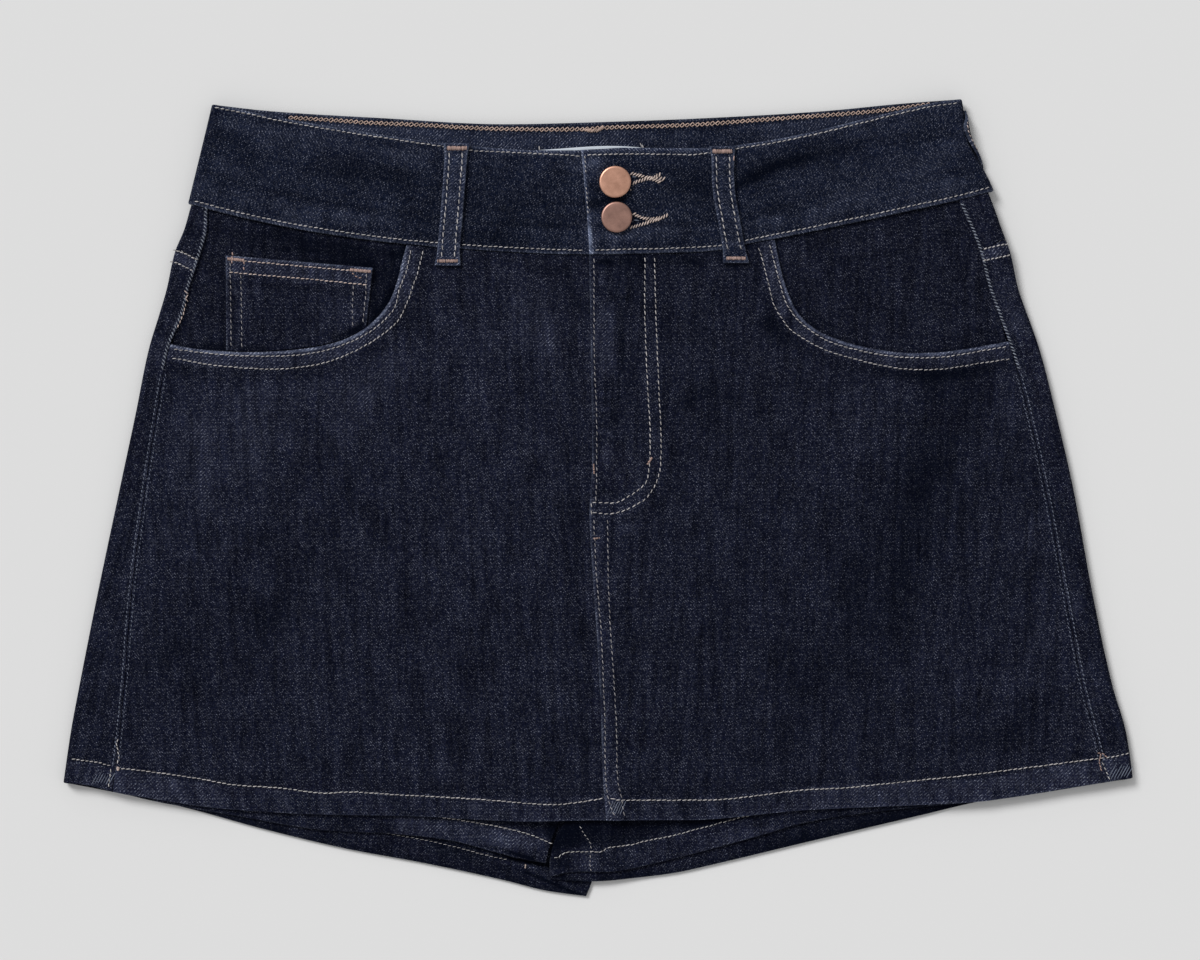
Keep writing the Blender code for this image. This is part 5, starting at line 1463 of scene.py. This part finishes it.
def side_loop(name):
    """The back loop at the left side fold, which just shows from above."""
    off = LAYER_GAP + LOOP_THICK
    (top_x, top_y), (low_x, low_y) = BAND_BACK_TOP[-1], BAND_BACK_LOW[-1]
    start_y, end_y = top_y - LOOP_INSET - 5.0, low_y - LOOP_TAIL
    along = graded(start_y - end_y, EDGE[:6], EDGE[:5], 1.4)
    y = (start_y - along)[:, None]
    down = np.minimum((top_y - y) / (top_y - low_y), 1.0)
    edge = mix(top_x, low_x, down) - band_hollow(down) + LOOP_SIDE_CLEAR
    slant = (4.0 * (1 - ramp(along, 0, 9)) + 11.0 * ramp(along, 9, 52) - 1.3)[:, None]
    arc = LOOP_SIDE_ARC - slant - LOOP_ACROSS[None]
    place = lambda a: round_fold(1, edge, a, 2 * BAND_FOLD_MID, BAND_FOLD_MID)
    (x, z), ahead, behind = place(arc), place(arc + 0.2), place(arc - 0.2)
    run_x, run_z = ahead[0] - behind[0], ahead[1] - behind[1]
    length = np.hypot(run_x, run_z)
    x, z = x + run_z / length * off, z - run_x / length * off + WAIST_LIFT
    for column in (4, 12):
        side_rows.append((x[:, column], y[:, 0], z[:, column]))
    # its shift darkens it: painted shade in the side fold
    loop_cloth(name, x, y, z, False, along, 2.6)


def label():
    """A bare woven label on the inside of the waistband's back."""
    (first_x, last_x), (low_y, top_y) = LABEL_X, LABEL_Y
    across = first_x + graded(last_x - first_x, EDGE[:4], EDGE[:4], 1.6)
    x, down = np.meshgrid(across, graded(top_y - low_y, EDGE[:4], EDGE[:4], 1.4))
    share = (x - first_x) / (last_x - first_x)
    y = top_y - down - 1.9 + 1.1 * share + 1.4 * np.sin(math.pi * share ** 1.4)
    edge = np.minimum(np.minimum(x - first_x, last_x - x), np.minimum(down, y - low_y + 2))
    z = BAND + LAYER_GAP + LABEL_THICK + waist_lift(y) + 0.12 * wave(x, 15.0) * ramp(edge, 0, 4)
    roll = rolled(edge, 0.3)
    cloth("label", x, y, z, True, LABEL_THICK, roll, (x, y), edge, 0.0, label_satin, "label_satin")


# ------------------------------------------------------------------------ threads
RING_PLACES = np.array([0.0, 0.14, 0.38, 0.62, 0.86, 1.0])
RING_SIZES = np.array([0.25, 0.8, 1.0, 1.0, 0.8, 0.25])
RING_LIFTS = np.array([-0.75, 0.25, 0.7, 0.7, 0.25, -0.75])
RING_SIDES = 6


def threads(starts, ends, radius, surface, lift=0.0):
    """Vertices and faces of short threads from starts to ends, (n, 2) each, on a surface.

    A radius below zero puts them under the surface's lower side."""
    starts, ends = np.asarray(starts, float), np.asarray(ends, float)
    run = ends - starts
    side = np.stack([-run[:, 1], run[:, 0]], axis=-1) / np.linalg.norm(run, axis=1)[:, None]
    radius = np.broadcast_to(radius, (len(starts),))[:, None]
    way = np.sign(radius)
    middle = starts[:, None] + run[:, None] * RING_PLACES[None, :, None]
    z = surface(middle[:, :, 0], middle[:, :, 1]) + radius * RING_LIFTS[None] + lift * way
    turn = 2 * math.pi * np.arange(RING_SIDES) / RING_SIDES
    size = np.abs(radius)[:, :, None] * RING_SIZES[None, :, None]
    across = size * np.cos(turn)
    x = middle[:, :, None, 0] + side[:, None, None, 0] * across
    y = middle[:, :, None, 1] + side[:, None, None, 1] * across
    z = z[:, :, None] + size * 0.85 * np.sin(turn)
    vertices = np.stack([x, y, z], axis=-1).reshape(-1, 3)
    turns = [(i, (i + 1) % RING_SIDES) for i in range(RING_SIDES)]
    rings = [number * RING_SIDES for number in range(len(RING_PLACES))]
    faces = [(a + i, a + j, b + j, b + i) for a, b in zip(rings, rings[1:]) for i, j in turns]
    faces += [tuple(range(RING_SIDES))[::-1], tuple(rings[-1] + i for i in range(RING_SIDES))]
    each = rings[-1] + RING_SIDES
    made = [tuple(v + number * each for v in face) for number in range(len(starts)) for face in faces]
    return vertices, made, each


sewing = {}


class Sewing:
    """Threads of one colour that are joined in one mesh."""

    def __init__(self, name, material, seed):
        self.name, self.material = name, material
        self.chance = np.random.default_rng(seed)
        self.vertices, self.faces, self.tints, self.count = [], [], [], 0

    def add(self, starts, ends, radius, surface, lift=0.0):
        starts = np.asarray(starts, float)
        size = radius * self.chance.uniform(0.88, 1.12, len(starts))
        vertices, faces, each = threads(starts, ends, size, surface, lift)
        self.faces += [tuple(v + self.count for v in face) for face in faces]
        self.vertices.append(vertices)
        self.tints.append(np.repeat(self.chance.uniform(0, 1, len(starts)), each))
        self.count += len(vertices)

    def run(self, points, surface, pitch=2.75, gap=0.42, radius=0.3, lean=0.2, lift=0.05):
        """A row of stitches through points, each turned a little as the thread's twist does."""
        route = Route(points)
        count = max(int(route.length / pitch), 1)
        middle = (np.arange(count) + 0.5) * route.length / count
        middle = middle + self.chance.uniform(-0.12, 0.12, count)
        half = (pitch - gap) / 2 * self.chance.uniform(0.88, 1.06, count)
        wobble = self.chance.uniform(-0.12, 0.12, count)
        ends = [route.aside(middle + way * half, wobble + way * lean, middle) for way in (-1, 1)]
        self.add(*ends, radius, surface, lift)

    def tack(self, x0, y0, x1, y1, width, surface, radius=0.3, lift=0.15):
        """A dense bar of threads across the line from (x0, y0) to (x1, y1)."""
        length = math.hypot(x1 - x0, y1 - y0)
        count = max(int(length / 0.5), 3)
        share = (np.arange(count) + 0.5) / count
        lean = self.chance.uniform(-0.25, 0.25, (2, count))
        side = np.array([-(y1 - y0), x1 - x0]) / length
        middle = np.stack([mix(x0, x1, share), mix(y0, y1, share)], axis=-1)
        reach = width / 2 * self.chance.uniform(0.86, 1.1, (2, count))[:, :, None]
        along = np.array([x1 - x0, y1 - y0]) / length
        starts = middle - side * reach[0] + along * lean[0][:, None]
        ends = middle + side * reach[1] + along * lean[1][:, None]
        self.add(starts, ends, radius, surface, lift)

    def rope(self, points, width, surface, pitch=1.5, radius=0.36, slant=1.7, lift=0.2):
        """A whipped row: threads laid slantwise over it, one beside the other."""
        route = Route(points, 0.25)
        count = max(int(route.length / pitch), 2)
        middle = (np.arange(count) + 0.5) * route.length / count
        middle = middle + self.chance.uniform(-0.15, 0.15, count)
        wide = np.interp(middle, np.linspace(0, route.length, len(width)), width) / 2
        ends = []
        for way in (-1, 1):
            out = way * wide * self.chance.uniform(0.8, 1.15, count)
            ends.append(route.aside(middle + way * slant / 2, out, middle))
        self.add(*ends, radius, surface, lift)

    def chain(self, points, pitch, wide, radius, surface):
        """Loops caught one in the next: two strands that part and cross again."""
        route = Route(points, 0.25)
        count = int(route.length / pitch)
        cross = np.linspace(0.0, route.length, count + 1) + self.chance.uniform(-0.15, 0.15, count + 1)
        for way in (-1, 1):
            out = way * wide * self.chance.uniform(0.85, 1.1, count)
            apex = cross[:-1] + pitch * (0.5 + 0.14 * way)
            for start, end in (
                ((cross[:-1] - 0.2, -0.3 * out), (apex + 0.15, out)),
                ((apex - 0.15, out), (cross[1:] + 0.2, -0.3 * out)),
            ):
                self.add(route.aside(*start), route.aside(*end), radius, surface, 0.1 + 0.08 * way)

    def make(self, node):
        """Joins the threads in one mesh, which goes with a node's cloth."""
        made = finish_mesh(self.name, np.vstack(self.vertices), self.faces, self.material, None, 80.0)
        note(made.data, "tint", np.concatenate(self.tints))
        sewing[made] = node


def along_x(curve, start, end, shift=0.0, step=6.0):
    """Points of a row that follows a curve y(x), shifted up by shift."""
    xs = np.linspace(start, end, max(int(abs(end - start) / step), 2) + 1)
    return list(zip(xs, curve(xs) + shift))


def along_y(curve, start, end, shift=0.0, step=6.0):
    """Points of a row that follows a curve x(y), shifted along x by shift."""
    ys = np.linspace(start, end, max(int(abs(end - start) / step), 2) + 1)
    return list(zip(curve(ys) + shift, ys))


def wrap_top(side):
    """The outer height of the back's cloth where it comes round on to the front."""
    return lambda x, y: front_level(x, y) + waist_lift(y) + wrap_relief(x, y, side)[0]


def leg_top(side):
    """The outer height of a shorts front near its hem."""
    def top(x, y):
        relief = hem_relief(x, y - front_hems[side](x), 4.0 + side)[0] + marks(x, y, LEG_MARKS)[0]
        return leg_level(x, y, side) + relief
    return top


def band_under(x, y):
    return band_height(x, y, False)


def band_over(x, y):
    return band_height(x, y, True)


def band_underside(x, y):
    """The lower face of the waistband's back."""
    return waist_lift(y)


def band_inside(x, y):
    """The upper face of the waistband's back."""
    return BAND + waist_lift(y)


# ----------------------------------------------------------------------- sewing
UNDERSIDE = {"radius": -0.3, "lift": 0.0}
# The ropes of both buttonholes and how wide each is along it
BUTTONHOLES = [
    ([(16.7, 171.7), (25.7, 169.6), (28.9, 168.6), (33.1, 166.9)], (2.0, 1.9, 2.0, 2.1)),
    ([(17.8, 166.5), (24.6, 168.5), (28.9, 169.4), (33.1, 171.2)], (2.0, 1.9, 2.0, 2.1)),
    ([(28.0, 169.0), (35.4, 168.9)], (1.6, 2.4)),
    ([(18.1, 150.5), (25.2, 147.6), (32.9, 148.1), (36.9, 149.8)], (2.0, 1.9, 2.1, 1.9)),
    ([(16.6, 142.9), (22.5, 144.6), (28.9, 146.6), (32.9, 147.4)], (1.6, 1.8, 1.9, 1.5)),
]
# By side: x where the hidden rows start and end, at the yoke's seam and at the hem
HIDDEN_ROWS = {-1: ((-212, -1.2), (-268, -8)), 1: ((1.2, 204), (-18, 268))}


def sew_waistband():
    """Its rows, the chain row inside it and both buttonholes."""
    rows = Sewing("stitches_waistband", topstitch, 1)
    for end, surface in (("under", band_under), ("over", band_over)):
        for height in ("top", "low"):
            rows.run(ROUTES["band_%s_%s" % (height, end)], surface, 2.8, 0.5, 0.25)
    for points in ([(-7.2, 181.5), (-6.8, 171.5)], [(-6.5, 165.0), (-5.5, 150.0)]):
        rows.run(points, band_over, 2.5, 1.1, 0.24)
    for curve, shift in ((band_back_top, -2.3), (band_back_low, 2.3)):
        rows.run(along_x(curve, -203, 190, shift), band_underside, 2.8, **UNDERSIDE)
    rows.make("waistband")

    rows = Sewing("stitches_waistband_chain", chain_thread, 12)
    rows.chain([(x, y + 0.2) for x, y in ROUTES["chain"]], 2.65, 1.25, 0.25, band_inside)
    crossing = [(-8.5, 195.4), (-3.0, 194.8), (0.6, 195.2), (2.8, 197.2)]
    rows.rope(crossing, (1.0, 2.0, 2.2, 1.2), band_inside, 0.9, 0.34, 1.8, 0.4)
    rows.make("waistband")

    rows = Sewing("stitches_buttonholes", hole_thread, 13)
    for points, width in BUTTONHOLES:
        rows.rope(points, width, band_over)
    rows.add([(16.6, 163.4)], [(17.3, 162.6)], 0.3, band_over, 0.1)
    rows.make("waistband")
    rows = Sewing("threads_slits", seam_thread, 18)
    rows.add([(18.4, 147.1), (17.8, 169.9)], [(21.6, 146.6), (20.2, 169.7)], 0.34, band_over, 0.1)
    rows.make("waistband")


def sew_label():
    """The few threads that hold the label."""
    rows = Sewing("threads_label", topstitch, 17)
    on_label = lambda x, y: x * 0 + WAIST_LIFT + BAND + LAYER_GAP + LABEL_THICK
    starts = [(-31.2, 183.6), (23.6, 185.0), (24.2, 184.6)]
    ends = [(-31.5, 186.6), (22.0, 188.2), (23.2, 187.2)]
    rows.add(starts, ends, 0.3, on_label, 0.1)
    rows.make("label")


def sew_fronts():
    """The rows along the pocket mouths, the skirt's hem and the fly."""
    for side, seed, inner, outer in ((-1, 2, 0.24, 0.25), (1, 3, 0.23, 0.22)):
        word, top = WORDS[side], skirt_top(side)
        rows = Sewing("stitches_front_" + word, topstitch, seed)
        rows.run(ROUTES["mouth_%s_inner" % word], top, 2.7, 0.4, inner)
        rows.run(ROUTES["mouth_%s_outer" % word], top, 2.7, 0.4, outer)
        rows.run(ROUTES["skirt_hem_" + word], top, 2.7, 0.15, 0.25)
        if side > 0:
            for name in ("fly_inner", "fly_outer", "fly_foot"):
                rows.run(ROUTES[name], top, 3.05, 0.65, 0.25)
        rows.make("front_" + word)

    top = skirt_top(1)
    rows = Sewing("stitches_centre_front", dim_thread, 6)
    for name in ("fly_edge", "centre_edge", "centre_second"):
        rows.run(ROUTES[name], top, 3.1, 0.9, 0.22)
    rows.make("front_left")
    rows = Sewing("tacks_front_left", tack_thread, 14)
    rows.tack(25.9, 17.6, 28.3, 21.4, 1.2, top)
    rows.tack(-2.6, 18.2, -2.3, 12.8, 0.9, top)
    rows.tack(-2.6, -21.6, 0.6, -21.2, 1.0, top)
    rows.make("front_left")


def sew_coin_pocket():
    """Its rows and the tacks at its corners."""
    rows = Sewing("stitches_coin_pocket", hole_thread, 4)
    for name in ("coin_top", "coin_top_low"):
        rows.run(ROUTES[name], coin_top, 2.45, 0.3, 0.27)
    rows.make("coin_pocket")
    rows = Sewing("stitches_coin_sides", dim_thread, 7)
    for name in ("coin_outer", "coin_outer_second", "coin_inner", "coin_inner_second"):
        rows.run(ROUTES[name], coin_top, 2.92, 0.8, 0.21)
    rows.make("coin_pocket")
    rows = Sewing("tacks_coin_pocket", tack_thread, 15)
    rows.tack(-196.4, 126.6, -187.6, 125.8, 1.7, coin_top, 0.36)
    rows.tack(-131.6, 120.8, -120.6, 119.9, 1.7, coin_top, 0.36)
    rows.run([(-193.7, 130.3), (-194.2, 124.0)], coin_top, 2.1, 0.1, 0.34)
    rows.run([(-187.8, 125.8), (-187.8, 120.2)], coin_top, 1.9, 0.1, 0.34)
    rows.run([(-130.6, 119.6), (-127.9, 116.8), (-125.2, 116.6)], coin_top, 1.7, 0.1, 0.32)
    rows.make("coin_pocket")


def sew_side(side):
    """One leg's hem, its side seam and its yoke, with the hidden rows under the back."""
    word, seam, wrap, leg = WORDS[side], seams[side], wrap_top(side), leg_top(side)
    rows = Sewing("stitches_leg_" + word, topstitch, 20 + side)
    rows.run(ROUTES["leg_%s_front" % word], leg, 2.5, 0.2, 0.22)
    if side > 0:
        rows.run(ROUTES["inseam"], leg, 2.3, 0.8, 0.17)
    rows.make("shorts_front_" + word)

    out = side * 1.5
    rows = Sewing("whipping_side_" + word, whip_thread, 33 + side)
    rows.rope(along_y(seam, 155 + side, 68, out * 0.7), (1.7, 1.7), wrap, 1.9, 0.28, 1.5, 0.1)
    rows.make("back_" + word)
    rows = Sewing("stitches_side_" + word, seam_thread, 30 + side)
    for x, y, count, step, rise in WORN_TWILL[side]:
        starts = np.stack([x + step * np.arange(count), np.full(count, y)], axis=-1)
        reach = rows.chance.uniform(0.65, 1.0, (count, 1))
        rows.add(starts, starts + reach * (0.55 * rise, rise), 0.17, wrap, 0.56)
    rows.run(along_y(seam, 66, -142, out), wrap, 2.3, 0.8, 0.25)
    rows.run(along_y(seam, 66, -140, -out * 0.9), skirt_top(side), 2.3, 1.0, 0.2)
    rows.make("back_" + word)

    rows = Sewing("stitches_yoke_" + word, topstitch, 40 + side)
    for row in ("upper", "lower"):
        rows.run(ROUTES["yoke_%s_%s" % (word, row)], wrap, 2.1, 0.15, 0.32)
    for points in HEM_ENDS[side]:
        rows.run(points, wrap, 2.3, 0.4, 0.25, lift=0.72)
    flat = on_surface if side < 0 else leg_lift
    yoke_ends, hem_ends = HIDDEN_ROWS[side]
    for shift in (-1.5, -7.8):
        rows.run(along_x(yoke_low, *yoke_ends, shift), flat, **UNDERSIDE)
    rows.run(along_x(back_hems[side], *hem_ends, 12.0), flat, **UNDERSIDE)
    if side > 0:
        for shift in (1.6, 7.9):
            rows.run([(shift, 141.5), (shift, 112)], flat, **UNDERSIDE)
            rows.run([(shift, 106), (shift, -143)], flat, **UNDERSIDE)
    else:
        inside = lambda x, y: x * 0 + CLOTH + HEM_RAISE
        rows.run(ROUTES["leg_right_back"], inside, 2.5, 0.6, 0.12)
    rows.make("back_" + word)


def sew_ends():
    """Loose threads and tacks at the sides and hems, and the rubbed yarns at the centre."""
    rows = Sewing("tacks_side", hole_thread, 16)
    starts = [(-219.4, 109.8), (-217.4, 107.6), (-218.8, 105.6)]
    ends = [(-217.2, 108.0), (-218.8, 105.4), (-217.4, 104.0)]
    rows.add(starts, ends, 0.28, wrap_top(-1), 0.2)
    rows.run([(-218.4, 103.4), (-220.5, 96.0), (-223.2, 90.0)], wrap_top(-1), 2.2, 0.5, 0.26)
    rows.tack(-38.7, -194.4, -38.9, -196.6, 0.8, lambda x, y: x * 0 + 2.0, 0.3)
    rows.tack(-254.6, -142.5, -254.6, -144.6, 1.6, wrap_top(-1), 0.3, 0.5)
    rows.make("back_right")
    rows = Sewing("tacks_hem_left", tack_thread, 19)
    for points in (
        [(264.4, -135), (266.2, -135.6), (265.2, -139.8), (266.6, -144.6)], [(266.6, -135), (269.6, -137.4)],
    ):
        rows.run(points, wrap_top(1), 1.6, 0.0, 0.27, lift=0.8)
    rows.make("back_left")
    rows = Sewing("yarns_hem_centre", seam_thread, 21)
    starts = np.stack([4.4 + 1.35 * np.arange(6), np.full(6, -167.8)], axis=-1)
    rows.add(starts, starts + (3.6, 8.0), 0.16, skirt_top(1), -0.02)
    rows.make("front_left")


def sew_loops():
    """Rows and tacks of the five belt loops; how many sewn pieces there are goes into the seeds."""
    for word, middle, shifts in (("right", RIGHT_LOOP, (-3.5, 3.4)), ("left", LEFT_LOOP, (-3.4, 3.5))):
        name = "belt_loop_front_" + word
        top = loop_tops[name]
        rows = Sewing("stitches_" + name, topstitch, 50 + len(sewing))
        for shift in shifts:
            rows.run([(x + shift, y) for x, y in middle[1:-1]], top, 3.4, 0.7, 0.28)
        rows.make(name)
        rows = Sewing("tacks_" + name, tack_thread, 60 + len(sewing))
        for (x, y), inward, thick in ((middle[0], -3.0, 0.33), (middle[-1], 2.6, 0.27)):
            rows.tack(x - 5.2, y + inward, x + 5.2, y + inward, 7 * thick, top, thick)
        if word == "left":
            rows.add([(71.7, 181.2)], [(71.5, 178.2)], 0.26, top, 0.0)
        rows.make(name)

    rows = Sewing("stitches_belt_loop_back_left", hole_thread, 77)
    stitched = slice(6, 24, 3)
    for xs, ys, zs in side_rows:
        surface = lambda px, py: np.interp(-py, -ys, zs)
        rows.run(list(zip(xs[stitched], ys[stitched])), surface, 2.3, 0.4, 0.24)
    rows.make("belt_loop_back_left")

    for name, x, run_out in BACK_LOOPS:
        top, low = back_loop_ends(x)
        rows = Sewing("stitches_" + name, topstitch, 70 + len(sewing))
        for shift in (-3.4, 3.4):
            ends = [(x + shift, top - 5), (x + shift + run_out, low + 5)]
            rows.run(ends, on_surface, 3.4, 0.7, -0.28, lift=0.0)
        rows.make(name)
        rows = Sewing("tacks_" + name, tack_thread, 80 + len(sewing))
        for px, py in ((x, top - 2.8), (x + run_out, low + 2.8)):
            rows.tack(px - 5.2, py, px + 5.2, py, 2.3, on_surface, -0.33, 0.1)
        rows.make(name)


# ---------------------------------------------------------------------- buttons
BUTTON_DEPTH = 1.5
BUTTON_MIDDLE = 1.75    # its cap's middle above the cloth it is fastened to


def choose(made, kind, rule):
    """Selects the faces or edges of a mesh in edit mode that a rule picks, and nothing else."""
    bpy.ops.mesh.select_mode(type=kind)
    bpy.ops.mesh.select_all(action="DESELECT")
    shape = bmesh.from_edit_mesh(made.data)
    shape.normal_update()
    for part in shape.faces if kind == "FACE" else shape.edges:
        if rule(part):
            part.select_set(True)
    shape.select_flush_mode()
    bmesh.update_edit_mesh(made.data)


def button(node, x, y, radius, metal):
    """A tack button: a slightly domed cap with a rolled rim, on a short neck."""
    middle = band_over_level(x) + waist_lift(y) + LAYER_GAP + BUTTON_MIDDLE
    bpy.ops.object.select_all(action="DESELECT")
    bpy.ops.mesh.primitive_cylinder_add(
        vertices=96, radius=radius * MM, depth=BUTTON_DEPTH * MM, location=(x * MM, y * MM, middle * MM))
    made = bpy.context.active_object
    made.name = node + "_cap"
    bpy.ops.object.transform_apply(location=True, rotation=True, scale=True)
    bpy.ops.object.mode_set(mode="EDIT")
    choose(made, "FACE", lambda face: face.normal.z > 0.9)
    for border, rise in ((0.8, 0.4), (0.3, 0.01), (3.2, 0.07)):
        bpy.ops.mesh.inset(thickness=border * MM)
        bpy.ops.transform.translate(value=(0, 0, rise * MM))
    choose(made, "FACE", lambda face: face.normal.z < -0.9)
    for border in (0.9, 3.4):
        bpy.ops.mesh.inset(thickness=border * MM)
    bpy.ops.mesh.extrude_region_move(TRANSFORM_OT_translate={"value": (0, 0, -0.95 * MM)})
    rim = middle + BUTTON_DEPTH / 2
    far = lambda vertex: math.hypot(vertex.co.x / MM - x, vertex.co.y / MM - y)
    on_rim = lambda vertex: abs(vertex.co.z / MM - rim) < 0.02 and far(vertex) > radius - 0.02
    choose(made, "EDGE", lambda edge: all(on_rim(vertex) for vertex in edge.verts))
    bpy.ops.mesh.bevel(offset=0.4 * MM, segments=5, affect="EDGES")
    bpy.ops.object.mode_set(mode="OBJECT")
    bpy.ops.object.shade_smooth_by_angle(angle=math.radians(38))
    made.data.materials.append(metal)
    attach(made, "root")
    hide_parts(node)


# ------------------------------------------------------------------------- stage
CAMERA_PLACE = (0.0008, 0.0095, 1.9)
CAMERA_WIDTH = 0.636    # m across the picture, at the garment's middle height
GARMENT_MIDDLE = 0.005


def stage():
    """Camera straight above, a plain pale floor and soft light from the upper left."""
    scene = bpy.context.scene
    scene.view_settings.view_transform = "Standard"
    scene.view_settings.look = "None"
    lens = bpy.data.cameras.new("camera")
    lens.sensor_width = 36.0
    lens.lens = lens.sensor_width * (CAMERA_PLACE[2] - GARMENT_MIDDLE) / CAMERA_WIDTH
    camera = bpy.data.objects.new("camera", lens)
    camera.location = CAMERA_PLACE
    scene.collection.objects.link(camera)
    scene.camera = camera

    bpy.ops.object.select_all(action="DESELECT")
    bpy.ops.mesh.primitive_plane_add(size=8.0, location=(0, 0, -0.0002))
    floor = bpy.context.active_object
    floor.name = "floor"
    paper = Look("floor_paper")
    paper.set(Base_Color=(0.8, 0.8, 0.8, 1), Roughness=1.0, Specular_IOR_Level=0.0)
    floor.data.materials.append(paper.material)

    world = bpy.data.worlds.new("studio")
    world.use_nodes = True
    sky = world.node_tree.nodes["Background"].inputs
    sky["Color"].default_value = (1.0, 1.0, 1.0, 1)
    sky["Strength"].default_value = 0.46
    scene.world = world
    light = bpy.data.lights.new("key", "SUN")
    light.energy = 2.15
    light.angle = math.radians(24)
    key = bpy.data.objects.new("key", light)
    key.rotation_euler = (math.radians(-34), math.radians(-38), 0)
    scene.collection.objects.link(key)


stage()
backs()
shorts_fronts()
facings()
coin_pocket()
skirt_fronts()
waistband()
front_loop("belt_loop_front_right", RIGHT_LOOP, False)
front_loop("belt_loop_front_left", LEFT_LOOP, True)
for name, x, run_out in BACK_LOOPS:
    back_loop(name, x, run_out)
side_loop("belt_loop_back_left")
label()
button("button_upper", 8.8, 167.05, 8.4, copper_bright)
button("button_lower", 9.6, 148.4, 8.15, copper_darker)
sew_waistband()
sew_label()
sew_fronts()
sew_coin_pocket()
for side in (-1, 1):
    sew_side(side)
sew_ends()
sew_loops()

for node, (made, width, length, area) in cuts.items():
    stitches = [piece for piece, sewn in sewing.items() if sewn == node]
    if node == "waistband":
        stitches += [bpy.data.objects["button_upper_cap"], bpy.data.objects["button_lower_cap"]]
